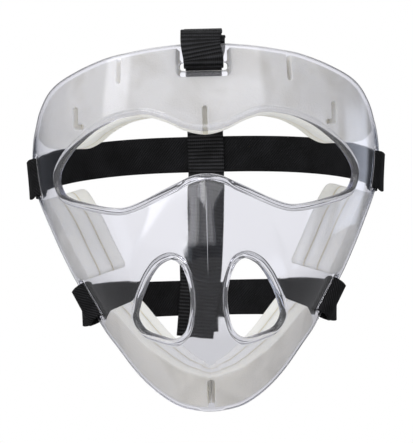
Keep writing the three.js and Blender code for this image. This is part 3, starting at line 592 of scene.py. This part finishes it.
# The beads and the edge look milky, because light that runs along the wall comes out there.
beads = [1 - smooth_share(gap, BEAD_WIDTH * 0.7, BEAD_WIDTH * 1.25) for gap in shell_gaps[1:4]]
edging = 0.6 * (1 - smooth_share(shell_gaps[0], EDGE_ROUND, EDGE_ROUND * 4))
mark(shell, "rolled", np.tile(np.max([*beads, edging], 0), 2))
mark(shell, "trimmed", np.tile(1 - smooth_share(shell_gaps[0], EDGE_ROUND, EDGE_ROUND * 2), 2))

# Polycarbonate is moulded glossy, with an index of 1.585, and takes a faint lavender grey from its
# depth. The trimmed edge is left frosted.
clear, tree = new_material("clear moulded polycarbonate")
place = node(tree, "TexCoord").outputs["Object"]
milky = node(tree, "Attribute", attribute_name="rolled").outputs["Fac"]
passing = node(tree, "MapRange", {0: milky, 3: 0.995, 4: 0.9})
waves = node(tree, "TexNoise", {"Vector": place, "Scale": 45.0, "Detail": 1.0})
ripple = node(tree, "Bump", {"Height": waves, "Strength": 0.12, "Distance": 0.0006})
haze = node(tree, "TexNoise", {"Vector": place, "Scale": 320.0, "Detail": 3.0})
glossy = node(tree, "MapRange", {0: haze, 1: 0.3, 2: 0.75, 3: 0.015, 4: 0.06})
cut_edge = node(tree, "Attribute", attribute_name="trimmed").outputs["Fac"]
frosted = node(tree, "Math", {0: cut_edge, 1: 0.32}, operation="MULTIPLY")
rough = node(tree, "Math", {0: glossy, 1: frosted}, operation="MAXIMUM")
surface = node(
    tree, "BsdfPrincipled",
    {
        "Base Color": linear("#f9f9fd"), "Roughness": rough, "IOR": 1.585,
        "Transmission Weight": passing, "Normal": ripple,
    },
)
depth = node(tree, "VolumeAbsorption", {"Color": linear("#e4e4f0"), "Density": 95.0})
node(tree, "OutputMaterial", {"Surface": surface, "Volume": depth})
shell.data.materials.append(clear)
shell.visible_shadow = shell.visible_diffuse = False  # clear plastic lets the light through to the foam
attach(shell, "mask")
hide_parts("shell")


# ---- Forehead pad
# Two die-cut sheets of closed-cell foam, 5 mm each, laminated together and glued behind the
# forehead. Relief cuts let the flat laminate bend, and a notch clears the crown strap.
FOREHEAD_LAYER = 5
GLUE = 0.3
TOP_MARGIN, RIM_LIP, PAD_CORNER = 1.4, 1.3, 4
CUT_WIDTH, CUT_ROUND = 2.6, 3
TOP_CUT_SPREAD, TOP_CUT_DEPTH = 45, 18.4
SIDE_CUT_SPREAD, SIDE_CUT_TOP, CUT_LENGTH, CUT_FOOT = 68, 60.5, 12, 6
MIDDLE_CUT_REACH = 13
NOTCH_WIDTH, NOTCH_DROP = 28.5, 2.5
PAD_END_SHARES = [(0.81, 0.76), (0.9, 0.7), (1, 0.7), (1.09, 0.72)]
PAD_SIDE_SHARE = 0.77
FOAM_STEP, FOAM_LOOP_STEP, SIDE_CUT_STEP = 2.0, 1.0, 0.5
FOAM_RINGS = [0, 0.12, 0.4, 0.9, 1.8]
RIM_SHARES = (0.05, 0.35, 0.65, 0.95)
SHELL_ROUND, GLUED_ROUND, FACE_ROUND = 0.6, 0.12, 0.9
GLUE_SPREAD, CUT_SPREAD = 0.5, 0.15


def foam_edge(run):
    return at_lengths(run, np.arange(0, lengths_along(run)[-1], FOAM_LOOP_STEP))


def cut_into(edge, at, width, tip):
    """An edge from left to right with a cut let in: down one side to a round tip and up the other."""
    half, radius = width / 2, min(width / 2, CUT_ROUND)
    left, right = edge[edge[:, 0] < at - half], edge[edge[:, 0] > at + half]
    mouths = np.interp([at - half, at + half], edge[:, 0], edge[:, 1])
    turn = np.linspace(0, np.pi / 2, 5)
    falls = tip - np.sign(tip - left[-1, 1]) * radius * (1 - np.sin(turn))
    count = max(int(abs(falls[0] - mouths[0]) / FOAM_LOOP_STEP), 2)
    side = np.linspace(mouths[0], falls[0], count)[:-1]
    xs = np.concatenate([np.full(count - 1, -half), -half + radius * (1 - np.cos(turn))])
    down = np.stack([xs, np.concatenate([side, falls])], -1)
    up = down[::-1] * (-1, 1)
    up[1 - count :, 1] = np.linspace(side[-1], mouths[1], count - 1)
    across = np.linspace(down[-1, 0], up[0, 0], max(int((width - 2 * radius) / FOAM_LOOP_STEP), 2))[1:-1]
    end = np.stack([across, np.full(len(across), tip)], -1)
    cut = np.concatenate([down, end, up if half > radius else up[1:]]) + (at, 0)
    return np.concatenate([left, cut, right])


def pad_loop(first, second, radius):
    """A closed loop from two edges that run the same way, its four corners rounded off."""
    def shorten(run):
        known = lengths_along(run)
        keep = (known > radius) & (known < known[-1] - radius)
        start, end = at_lengths(run, np.array([radius, known[-1] - radius]))
        return np.concatenate([[start], run[keep], [end]])

    def link(a, b):
        gap = b - a
        long = np.linalg.norm(gap)
        inset = gap / long * min(radius, long * 0.45)
        start, end = a + inset, b - inset
        count = max(int(np.linalg.norm(end - start) / FOAM_LOOP_STEP), 2)
        return start + np.linspace(0, 1, count)[:, None] * (end - start)

    sides = [shorten(first), link(first[-1], second[-1]), shorten(second)[::-1], link(second[0], first[0])]
    t = np.linspace(0, 1, 7)[1:-1, None]
    parts = []
    for a, sharp, b in zip(sides, (first[-1], second[-1], second[0], first[0]), sides[1:] + sides[:1]):
        parts += [a, a[-1] * (1 - t) ** 2 + 2 * sharp * t * (1 - t) + b[0] * t**2]
    return np.concatenate(parts)


rim = half_edge(EYE_SHARES[:9] + PAD_END_SHARES, EYE_HALF_WIDTH, EYE_HEIGHT, EYE_BOTTOM - RIM_LIP)
low_edge = foam_edge(rounded_run(np.concatenate([rim[:0:-1] * flip, rim]), False))
upper = (fine_outline - fine_ways * TOP_MARGIN)[fine_outline[:, 1] > height_of(PAD_SIDE_SHARE)]
top_edge = foam_edge(upper[np.argsort(upper[:, 0])])
notched = cut_into(top_edge, 0, NOTCH_WIDTH, TOP_EDGE - CROWN_BAR - SLOT_WIDTH - NOTCH_DROP)
relieved = notched
for x in (-TOP_CUT_SPREAD, TOP_CUT_SPREAD):
    at = float(spot(x, TOP_EDGE - TOP_CUT_DEPTH)[0])
    relieved = cut_into(relieved, at, CUT_WIDTH, TOP_EDGE - TOP_CUT_DEPTH)
middle_tip = EYE_BOTTOM + EYE_SHARES[0][1] * EYE_HEIGHT + MIDDLE_CUT_REACH
split_edge = cut_into(low_edge, 0, CUT_WIDTH, middle_tip)
# The L-shaped relief cut beside the eye on the wearer's left: a leg with a short foot.
half, x, top, low = CUT_WIDTH / 2, SIDE_CUT_SPREAD, SIDE_CUT_TOP, SIDE_CUT_TOP - CUT_LENGTH
toe = x - CUT_FOOT + half
corners = [
    (x - half, top - 1), (x, top), (x + half, top - 1), (x + half, low + 1), (x + half - 1, low),
    (toe + 1, low), (toe, low + half), (toe + 1, low + CUT_WIDTH), (x - half, low + CUT_WIDTH),
]
side_cut = even_loop(spot(*np.array(corners, float).T), SIDE_CUT_STEP)


def foam_layer(name, loops, face, depths, rounds, node_name, finish):
    """One die-cut foam layer between two depths behind the shell, its corners softened with the two
    rounds. Its points are marked from 0 to 1 where glue shows and where the foam is cut or raw; the
    material draws the cut faces lighter, partly as painted light."""
    def face_at(depth, radius, sign):
        return lambda places, gaps: face(places, depth + sign * sum(softened(gap, radius) for gap in gaps))

    made, gaps = plate(
        name, loops, [FOAM_RINGS] + [FOAM_RINGS[:4]] * (len(loops) - 1), FOAM_STEP,
        face_at(depths[0], rounds[0], 1), face_at(depths[1], rounds[1], -1), rim_shares=RIM_SHARES,
    )
    near = np.min(gaps, 0)
    wall = np.zeros(np.count_nonzero(near == 0) * len(RIM_SHARES))
    glued = [radius == GLUED_ROUND for radius in rounds]
    glue = [np.clip(1 - near / GLUE_SPREAD, 0, 1) * side for side in glued]
    # The cut mark also carries painted light: the cut faces are drawn lighter to lift the shade in the relief
    # cuts.
    cut = [np.maximum(np.clip(1 - near / CUT_SPREAD, 0, 1), side) for side in glued]
    mark(made, "glue", np.concatenate(glue + [wall]))
    mark(made, "cut", np.concatenate(cut + [wall + 1]))
    made.data.materials.append(finish)
    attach(made, "mask")
    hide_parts(node_name)


def foam(name, face_colour, cut_and_painted_light_colour, glue_colour):
    """Closed-cell foam: matt, with fine cells that show where it is cut, and a yellowish film of glue
    pressed out between the layers. The cut faces are drawn lighter: partly the raw cells, and partly
    painted light that lifts the shade inside the relief cuts. Cells of 0.4 mm are drawn at 0.9 mm so
    that they show. Where the glue has soaked into the foam's skin it is a little greyer, in soft patches."""
    made, tree = new_material(name)
    place = node(tree, "TexCoord").outputs["Object"]
    cells = node(tree, "TexVoronoi", {"Vector": place, "Scale": 1100.0})
    cloud = node(tree, "TexNoise", {"Vector": place, "Scale": 55.0, "Detail": 4.0})
    soaked = node(tree, "TexNoise", {"Vector": place, "Scale": 38.0, "Detail": 3.0, "Distortion": 0.6})
    patches = node(tree, "MapRange", {0: soaked, 1: 0.46, 2: 0.66, 4: 0.55})
    edge = node(tree, "Attribute", attribute_name="cut").outputs["Fac"]
    line = node(tree, "Attribute", attribute_name="glue").outputs["Fac"]
    tint = linear(face_colour)
    # The cut faces take the lighter second colour: partly raw cells, partly painted light that lifts the
    # shade in the relief cuts.
    for share, over in ((cloud, cut_and_painted_light_colour), (patches, "#d3d0c6"), (edge, cut_and_painted_light_colour), (line, glue_colour)):
        tint = node(tree, "Mix", {"Factor": share, "A": tint, "B": linear(over)}, data_type="RGBA")
    grain = node(tree, "Bump", {"Height": cells, "Strength": 0.35, "Distance": 0.0004})
    soft = node(tree, "Bump", {"Height": cloud, "Strength": 0.3, "Distance": 0.0008, "Normal": grain})
    surface = node(
        tree, "BsdfPrincipled",
        {
            "Base Color": tint, "Roughness": 0.92, "Normal": soft,
            "Subsurface Weight": 0.55, "Subsurface Radius": (1.0, 0.96, 0.88), "Subsurface Scale": 0.004,
        },
    )
    node(tree, "OutputMaterial", {"Surface": surface})
    return made


# The second colour of each is for the cut faces. It is lighter partly as painted light that lifts the shade
# in the relief cuts.
white_foam = foam("white cross-linked foam", "#e7e6e1", "#faf8f1", "#eee3c4")
cream_foam = foam("cream cross-linked foam", "#e8e5dd", "#faf6ea", "#ebdfbc")
pad_start = WALL + BEAD_BACK_RISE + GLUE
pad_middle = pad_start + FOREHEAD_LAYER + GLUE / 2
pad_end = pad_middle + FOREHEAD_LAYER + GLUE / 2
foam_layer(
    "forehead_foam_outer", [pad_loop(split_edge, relieved, PAD_CORNER), side_cut, side_cut * flip], beneath,
    (pad_start, pad_middle), (SHELL_ROUND, GLUED_ROUND), "forehead_pad_outer", white_foam,
)
foam_layer(
    "forehead_foam_inner", [pad_loop(low_edge, notched, PAD_CORNER)], beneath, (pad_middle, pad_end),
    (GLUED_ROUND, FACE_ROUND), "forehead_pad_inner", cream_foam,
)


# ---- Cheek pads
# Blocks glued up from three flat layers of the same foam; the outermost is pressed to the shell's
# curve. They stand the mask off the cheekbones, and their glue lines are open to view.
CHEEK_LAYER, CHEEK_CORNER, CHEEK_MARGIN = 6.9, 5, 1.2
CHEEK_TOP, CHEEK_BOTTOM = height_of(0.583), height_of(0.359)
CHEEK_TOP_WIDTH, CHEEK_BOTTOM_WIDTH = 14.5, 15.5
CHEEK_ROWS = 48
FLAT_DEPTH = 2.5


def laminate(pad, side, loops, face, start, thick, outer_finish):
    """Three foam layers of one thickness glued up from a depth behind the shell, each with its loop."""
    levels = [0, thick + GLUE / 2, 2 * thick + GLUE * 1.5, 3 * thick + GLUE * 2]
    for k, layer in enumerate(("outer", "middle", "inner")):
        foam_layer(
            f"{pad}_foam{side}_{layer}", [loops[k]], face, (start + levels[k], start + levels[k + 1]),
            (GLUED_ROUND if k else SHELL_ROUND, FACE_ROUND if k == 2 else GLUED_ROUND),
            f"{pad}_pad{side}_{layer}", white_foam if k else outer_finish,
        )


steps = np.linspace(0, 1, CHEEK_ROWS)
back_edge = np.array([set_in(CHEEK_TOP + (CHEEK_BOTTOM - CHEEK_TOP) * s, CHEEK_MARGIN)[0] for s in steps])
widths = CHEEK_TOP_WIDTH + (CHEEK_BOTTOM_WIDTH - CHEEK_TOP_WIDTH) * steps
cheek_loop = pad_loop(back_edge - np.stack([widths, 0 * steps], -1), back_edge, CHEEK_CORNER)
cheek_middle = cheek_loop.mean(0)
cheek_centre, cheek_way = beneath(cheek_middle, WALL + GLUE), inward(cheek_middle)


def cheek_face(places, depth):
    """Depths behind the shell where they are under FLAT_DEPTH, and above that levels square to the
    wall at the pad's middle; depths are counted from the glued face."""
    base = beneath(places, WALL + GLUE)
    rise = (base - cheek_centre) @ cheek_way
    return base + cheek_way * (depth - rise * np.clip(depth / FLAT_DEPTH, 0, 1))[:, None]


def mirrored_face(places, depth):
    return cheek_face(places * flip, depth) * (-1, 1, 1)


laminate("cheek", "_left", [cheek_loop] * 3, cheek_face, 0, CHEEK_LAYER, white_foam)
laminate("cheek", "_right", [cheek_loop * flip] * 3, mirrored_face, 0, CHEEK_LAYER, white_foam)


# ---- Chin pad
# Three foam layers bent round the chin in a V and glued along the shell's edge; the outer one has
# a round-topped recess and the others a slit, so that the laminate folds at the middle.
CHIN_LAYER, CHIN_CORNER, CHIN_MARGIN = 5.3, 3, 1.2
CHIN_WIDTH = 20.5
CHIN_WIDTH_SHARES = [(0, 0.88), (0.22, 1), (0.38, 0.87), (0.5, 0.78)]
CHIN_TOP = height_of(0.232)
CHIN_RECESS_WIDTH, CHIN_SLIT, CHIN_RECESS_TOP = 8, 1.2, -80.5
CHIN_END_SPARE = 3

below = fine_outline[:, 1] < CHIN_TOP
order = np.argsort(fine_outline[below][:, 0])
edge, ways = fine_outline[below][order], fine_ways[below][order]
known = lengths_along(edge)
share = known / known[-1]
width = CHIN_WIDTH * follow(CHIN_WIDTH_SHARES, np.minimum(share, 1 - share))
low_side = at_lengths(edge - ways * CHIN_MARGIN, np.arange(0, known[-1] - CHIN_END_SPARE, FOAM_LOOP_STEP))
high_side = foam_edge(edge - ways * (CHIN_MARGIN + width)[:, None])
cuts = [cut_into(low_side, 0, cut, CHIN_RECESS_TOP) for cut in (CHIN_RECESS_WIDTH, CHIN_SLIT, CHIN_SLIT)]
chin_loops = [pad_loop(cut_side, high_side, CHIN_CORNER) for cut_side in cuts]
laminate("chin", "", chin_loops, beneath, WALL + GLUE, CHIN_LAYER, cream_foam)


# ---- Elastic bands
# Two woven elastic straps, 20 mm wide. Each end goes out through a slot, round the bar behind it
# and back onto the strap, where hook tape holds it.
BAND_THICK = 1.6
FOLD_RADIUS, JAW_FOLD_RADIUS, FOLD_LENGTH = 3.4, 5.4, 38
TAPE_THICK, TAPE_LENGTH, TAPE_INSET = 1.2, 20, 1.5
TAPE_START = FOLD_LENGTH - TAPE_INSET - TAPE_LENGTH
TOUCH = 0.3
SQUARENESS = 2.6
BAND_SAG = 1.4
UPPER_BACK, UPPER_RISE = 89, 37.8
LOWER_BACK, LOWER_DROP = 63, 42
BAND_TURN_SHARES = np.array([0.16, 0.34, 0.52, 0.7, 0.86, 1])
STRAP_STEP, STRAP_COLUMNS, STRAP_ROUND = 1.2, 13, 0.45
MIRROR = np.array([-1, 1, 1])


class Run:
    """A strap's main run from its bar to the back, and where it is at any distance."""

    def __init__(self, seat, radius, thick, points, wide_start, wide_end):
        self.seat, self.radius = seat, radius
        self.gap = thick + TAPE_THICK + TOUCH * 2
        self.curve = rounded_run(np.vstack([on_seat(seat, radius, -radius), points]), False)
        self.length = lengths_along(self.curve)[-1]
        self.wide_start, self.wide_end = wide_start, wide_end

    def at(self, distances):
        """Points, ways across the strap and ways square to it."""
        share = smooth_share(distances, 0, TAPE_START)[:, None]
        wide = unit(self.wide_start * (1 - share) + self.wide_end * share)
        behind, point, ahead = (
            at_lengths(self.curve, np.clip(distances + step, 0, self.length)) for step in (-0.3, 0, 0.3)
        )
        return point, wide, unit(np.cross(wide, unit(ahead - behind)))


def strap_path(run, bar, drift):
    """Points and ways across a strap: its folded end from the cut to the bar, which lies two bend
    radii inside the run there and on the tape at the cut, then the bend through the slot, then the run."""
    distances = np.arange(FOLD_LENGTH, 0, -STRAP_STEP)
    point, wide, deep = run.at(distances)
    fall = smooth_share(distances, SLOT_WIDTH / 2 + bar - run.radius, TAPE_START - TAPE_INSET)
    offset = run.radius * 2 * (1 - fall) + run.gap * fall
    slide = drift * smooth_share(distances, 0, bar)
    point = point + deep * offset[:, None] + wide * slide[:, None]
    turn = np.linspace(0, np.pi, 14)[:-1, None]
    bend = on_seat(run.seat, run.radius * (1 - np.sin(turn)), run.radius * np.cos(turn))
    main, main_wide, _ = run.at(np.linspace(0, run.length, int(run.length / STRAP_STEP)))
    return np.vstack([point, bend, main]), np.vstack([wide, np.tile(main_wide[0], (len(bend), 1)), main_wide])


def tube_faces(rings, count):
    """The faces of a closed tube: quads between its rings of points, and a cap at each end."""
    i, j = np.meshgrid(np.arange(rings - 1) * count, np.arange(count), indexing="ij")
    k = (j + 1) % count
    sides = np.stack([i + j, i + k, i + count + k, i + count + j], -1).reshape(-1, 4)
    return sides.tolist() + [list(range(count))[::-1], list(range((rings - 1) * count, rings * count))]


def strap(name, path, wide, width, thick, finish):
    """A flat strap carried along a path: a ring of points with rounded edges at every step, square to
    the path, and its two ends closed. The UV map holds millimetres along and across the strap."""
    along = unit(np.gradient(path, axis=0))
    deep = unit(np.cross(along, wide))
    wide = unit(np.cross(deep, along))
    half, flat = width / 2, thick / 2
    turn = np.linspace(-np.pi / 2, np.pi / 2, 7)
    edge_across, edge_deep = half - flat * STRAP_ROUND * (1 - np.cos(turn)), flat * np.sin(turn)
    face_across = np.linspace(half, -half, STRAP_COLUMNS + 2)[1:-1]
    face_deep = np.full(STRAP_COLUMNS, flat)
    across = np.concatenate([edge_across, face_across, -edge_across, -face_across])
    lift = np.concatenate([edge_deep, face_deep, -edge_deep, -face_deep])
    points = path[:, None] + across[:, None] * wide[:, None] + lift[:, None] * deep[:, None]
    made = mesh_object(name, points.reshape(-1, 3), tube_faces(len(path), len(across)))
    millimetres = np.stack(np.broadcast_arrays(lengths_along(path)[:, None], across), -1).reshape(-1, 2)
    corner_points = np.zeros(len(made.data.loops), int)
    made.data.loops.foreach_get("vertex_index", corner_points)
    layer = made.data.uv_layers.new(name="millimetres")
    layer.data.foreach_set("uv", millimetres[corner_points].ravel())
    made.data.materials.append(finish)
    return made


def woven(name, colour, light, along_pitch, across_pitch, slant, height, rough):
    """Woven strap: ribs along_pitch apart, slanted so many millimetres for each one across, crossed by
    finer yarns across_pitch apart. The tops of the ribs are drawn in the lighter colour, in noisy
    patches: a painted highlight, and partly wear."""
    made, tree = new_material(name)
    uv = node(tree, "SeparateXYZ", {0: node(tree, "UVMap", uv_map="millimetres")}).outputs
    lean = node(tree, "Math", {0: uv["Y"], 1: slant}, operation="MULTIPLY")
    course = node(tree, "Math", {0: uv["X"], 1: lean}, operation="ADD")
    waves = []
    for source, pitch in ((course, along_pitch), (uv["Y"], across_pitch)):
        phase = node(tree, "Math", {0: source, 1: 2 * math.pi / pitch}, operation="MULTIPLY")
        waves.append(node(tree, "MapRange", {0: node(tree, "Math", {0: phase}, operation="SINE"), 1: -1.0}))
    yarns = node(tree, "Math", {0: waves[1], 1: 0.35}, operation="MULTIPLY")
    weave = node(tree, "Math", {0: waves[0], 1: yarns}, operation="ADD")
    place = node(tree, "TexCoord").outputs["Object"]
    wear_and_highlight_patches = node(tree, "TexNoise", {"Vector": place, "Scale": 90.0, "Detail": 5.0})
    # The rib tops are mixed toward the lighter colour in noisy patches: a painted highlight, and partly wear.
    raised = node(tree, "Math", {0: weave, 1: wear_and_highlight_patches}, operation="MULTIPLY")
    shade = node(tree, "MapRange", {0: raised, 1: 0.25, 2: 0.7})
    tint = node(tree, "Mix", {"Factor": shade, "A": linear(colour), "B": linear(light)}, data_type="RGBA")
    fuzz = node(tree, "TexNoise", {"Vector": place, "Scale": 1500.0, "Detail": 2.0})
    bump = node(tree, "Bump", {"Height": fuzz, "Strength": 0.3, "Distance": 0.0003})
    ribs = node(tree, "Bump", {"Height": weave, "Strength": 1.0, "Distance": height / 1000, "Normal": bump})
    finish = {"Base Color": tint, "Roughness": rough, "Normal": ribs, "Specular IOR Level": 0.25}
    node(tree, "OutputMaterial", {"Surface": node(tree, "BsdfPrincipled", finish)})
    return made


# The lighter colour is the painted highlight on the rib tops.
black_elastic = woven("black woven elastic", "#030304", "#242427", 1.5, 0.7, 0.8, 0.2, 0.8)


def band_run(seat, bar, radius, back_reach, back_height, lean):
    """Half a band on the wearer's left: a squared ellipse in plan, rising like a sine to the back."""
    leave = on_seat(seat, SLOT_WIDTH / 2 + bar, -radius)
    angle = BAND_TURN_SHARES * np.pi / 2
    x = leave[0] * np.clip(np.cos(angle), 0, 1) ** (2 / SQUARENESS)
    y = leave[1] + (back_reach + BAND_THICK / 2 - leave[1]) * np.sin(angle) ** (2 / SQUARENESS)
    z = leave[2] + (back_height - leave[2]) * np.sin(angle)
    up = unit(np.array([0, lean, 1.0]))
    return Run(seat, radius, BAND_THICK, np.vstack([leave, np.stack([x, y, z], -1)]), seat["along"], up)


def band(name, run, bar):
    """A whole band: the wearer's left half, its folded end first, and that half's mirror image."""
    path, wide = (np.vstack([half, half[-2::-1] * MIRROR]) for half in strap_path(run, bar, 0))
    made = strap(name + "_elastic", path, wide, BAND_WIDTH, BAND_THICK, black_elastic)
    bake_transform(made)
    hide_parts(name + "_band")


TAIL_SLOPE = (UPPER_BACK - LOWER_BACK) / (UPPER_RISE + LOWER_DROP)
upper_run = band_run(temple_seat, TEMPLE_BAR, FOLD_RADIUS, UPPER_BACK, UPPER_RISE, 0)
lower_run = band_run(jaw_seat, JAW_BAR, JAW_FOLD_RADIUS, LOWER_BACK, -LOWER_DROP, TAIL_SLOPE)
band("upper", upper_run, TEMPLE_BAR)
band("lower", lower_run, JAW_BAR)


# ---- Crown webbing
# Ribbed nylon webbing, 20 mm wide: folded round the bar over the forehead slot, over the crown and
# down inside both bands, where it ends in a cut tail.
WEBBING_THICK = 1.4
CROWN_ARCH, CROWN_LIFT, CROWN_LEAD = 11.5, 5.4, 13.6
TAIL_LENGTH, TAIL_DRIFT = 21, 8.4
FRONT_DRIFT, END_DRIFT = 1.3, 2.3

inset = WEBBING_THICK / 2 + TOUCH + BAND_SAG
start = on_seat(crown_seat, SLOT_WIDTH / 2 + CROWN_BAR, -FOLD_RADIUS)
back = UPPER_BACK - inset
beside = BAND_WIDTH / 2 + SLOT_SPARE
arch = TOP_EDGE + CROWN_ARCH - UPPER_RISE
points = [
    (-FRONT_DRIFT, start[1], start[2]),
    (-FRONT_DRIFT, start[1] + FOLD_RADIUS, TOP_EDGE + CROWN_LIFT),
    (-FRONT_DRIFT, start[1] + CROWN_LEAD, TOP_EDGE + FOLD_RADIUS + WEBBING_THICK + SLOT_SPARE),
]
points += [(0, -HEAD_REACH * reach, UPPER_RISE + arch * share) for reach, share in ((0.5, 0.95), (0.12, 1))]
for reach, share in ((0.38, 0.9), (0.74, 0.62), (0.94, 0.36)):
    points.append((0, back * reach, UPPER_RISE + arch * share))
points += [(0, back, UPPER_RISE + beside), (0, back, UPPER_RISE - beside)]
for rise, share in (((UPPER_RISE + LOWER_DROP) / 2, 0.3), (beside, 0.6), (-TAIL_LENGTH, 1)):
    points.append((-TAIL_DRIFT * share, LOWER_BACK - inset + TAIL_SLOPE * rise, rise - LOWER_DROP))
sideways = np.array([-1.0, 0, 0])
crown_run = Run(crown_seat, FOLD_RADIUS, WEBBING_THICK, np.array(points), sideways, sideways)
# The lighter colour is the painted highlight on the rib tops.
black_webbing = woven("black ribbed nylon webbing", "#040405", "#343437", 2.0, 1.1, 0.0, 0.36, 0.62)
path, wide = strap_path(crown_run, CROWN_BAR, -END_DRIFT)
webbing = strap("crown_strap", path, wide, WEBBING_WIDTH, WEBBING_THICK, black_webbing)
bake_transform(webbing)
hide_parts("crown_webbing")


# ---- Hook tape
# A strip of moulded nylon hooks between each folded strap end and its strap. It is sewn to the
# folded end, and its hooks hold in the strap's face.
hooks, tree = new_material("black nylon hook tape")
uv = node(tree, "UVMap", uv_map="millimetres")
dots = node(tree, "TexVoronoi", {"Vector": uv, "Scale": 0.9, "Randomness": 0.15})
raised = node(tree, "Bump", {"Height": dots, "Strength": 1.0, "Distance": 0.0004})
tint = node(tree, "Mix", {"Factor": dots, "A": linear("#202022"), "B": linear("#0c0c0d")}, data_type="RGBA")
surface = node(tree, "BsdfPrincipled", {"Base Color": tint, "Roughness": 0.55, "Normal": raised})
node(tree, "OutputMaterial", {"Surface": surface})


def hook_tape(name, run, width, turn):
    point, wide, deep = run.at(np.linspace(TAPE_START, TAPE_START + TAPE_LENGTH, 18))
    path = (point + deep * run.gap / 2) * turn
    made = strap(name + "_hooks", path, wide * turn, width - TAPE_INSET * 2, TAPE_THICK, hooks)
    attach(made, "mask")
    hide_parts(name)


for name, run in (("upper_tape", upper_run), ("lower_tape", lower_run)):
    hook_tape(name + "_left", run, BAND_WIDTH, 1)
    hook_tape(name + "_right", run, BAND_WIDTH, MIRROR)
hook_tape("crown_tape", crown_run, WEBBING_WIDTH, 1)


# ---- Keepers
# Short webbing loops sewn to the back of the crown strap, one round each band, with two rows of
# thread through each foot.
KEEPER_WEB, KEEPER_STEP = 6, 0.6
KEEPERS = (
    ("upper_keeper", UPPER_RISE, UPPER_BACK, 0, 0),
    ("lower_keeper", -LOWER_DROP, LOWER_BACK, TAIL_DRIFT * 0.7, TAIL_SLOPE),
)
STITCH_LENGTH, STITCH_PITCH, THREAD = 2.2, 2.7, 0.5
STITCH_RINGS, STITCH_SIDES = 5, 6
ROW_INSETS = 0.7, 1.9

# A loop out over its band: flat on the strap above and below, standing off between.
flat = TOUCH + WEBBING_THICK / 2 - BAND_SAG
raised = BAND_THICK + TOUCH * 2 + WEBBING_THICK / 2
foot = beside + KEEPER_WEB
ups = np.array([foot, beside + raised - flat, beside, -beside, flat - beside - raised, -foot])
outs = np.array([flat, flat, raised, raised, flat, flat])
known = lengths_along(np.stack([ups, outs], -1))
fine = np.arange(0, known[-1], KEEPER_STEP)
up, out = np.interp(fine, known, ups), np.interp(fine, known, outs)
out = np.concatenate([out[:2], np.convolve(out, np.ones(5) / 5, "valid"), out[-2:]])
wide = np.tile(sideways, (len(up), 1))
for name, height, back_reach, drift, slope in KEEPERS:
    path = np.stack([np.full(len(up), -drift), back_reach + out + slope * up, height + up], -1)
    made = strap(name + "_loop", path, wide, WEBBING_WIDTH, WEBBING_THICK, black_webbing)
    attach(made, "harness")
    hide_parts(name)

# Bonded polyester thread is twisted and a little shinier than the webbing that it holds.
thread, tree = new_material("black polyester thread")
place = node(tree, "TexCoord").outputs["Object"]
twist = node(tree, "TexNoise", {"Vector": place, "Scale": 2500.0, "Detail": 2.0})
tint = node(tree, "Mix", {"Factor": twist, "A": linear("#0a0a0b"), "B": linear("#3a3a3d")}, data_type="RGBA")
surface = node(tree, "BsdfPrincipled", {"Base Color": tint, "Roughness": 0.45})
node(tree, "OutputMaterial", {"Surface": surface})

# A stitch is a spindle of rings round its own line, thick in the middle and half sunk in the cloth.
share = np.linspace(0, 1, STITCH_RINGS)[:, None]
turn = np.arange(STITCH_SIDES) * 2 * np.pi / STITCH_SIDES
thick = THREAD / 2 * np.sqrt(np.sin(np.pi * (0.08 + 0.84 * share)))
rings = np.broadcast_arrays((share - 0.5) * STITCH_LENGTH, np.sin(turn) * thick, np.cos(turn) * thick)
stitch = np.stack(rings, -1).reshape(-1, 3)
faces = tube_faces(STITCH_RINGS, STITCH_SIDES)
across = (np.arange(7) - 3) * STITCH_PITCH
rows = [foot - gap for gap in ROW_INSETS]
rows += [-row for row in reversed(rows)]
for name, height, back_reach, drift, slope in KEEPERS:
    x, up = np.meshgrid(across - drift, rows)
    proud = back_reach + TOUCH + WEBBING_THICK - BAND_SAG + slope * up
    middles = np.stack([x, proud, height + up], -1).reshape(-1, 1, 3)
    firsts = range(0, len(middles) * len(stitch), len(stitch))
    all_faces = [[first + corner for corner in face] for first in firsts for face in faces]
    made = mesh_object(name + "_stitches", (middles + stitch).reshape(-1, 3), all_faces)
    made.data.materials.append(thread)
    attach(made, "harness")
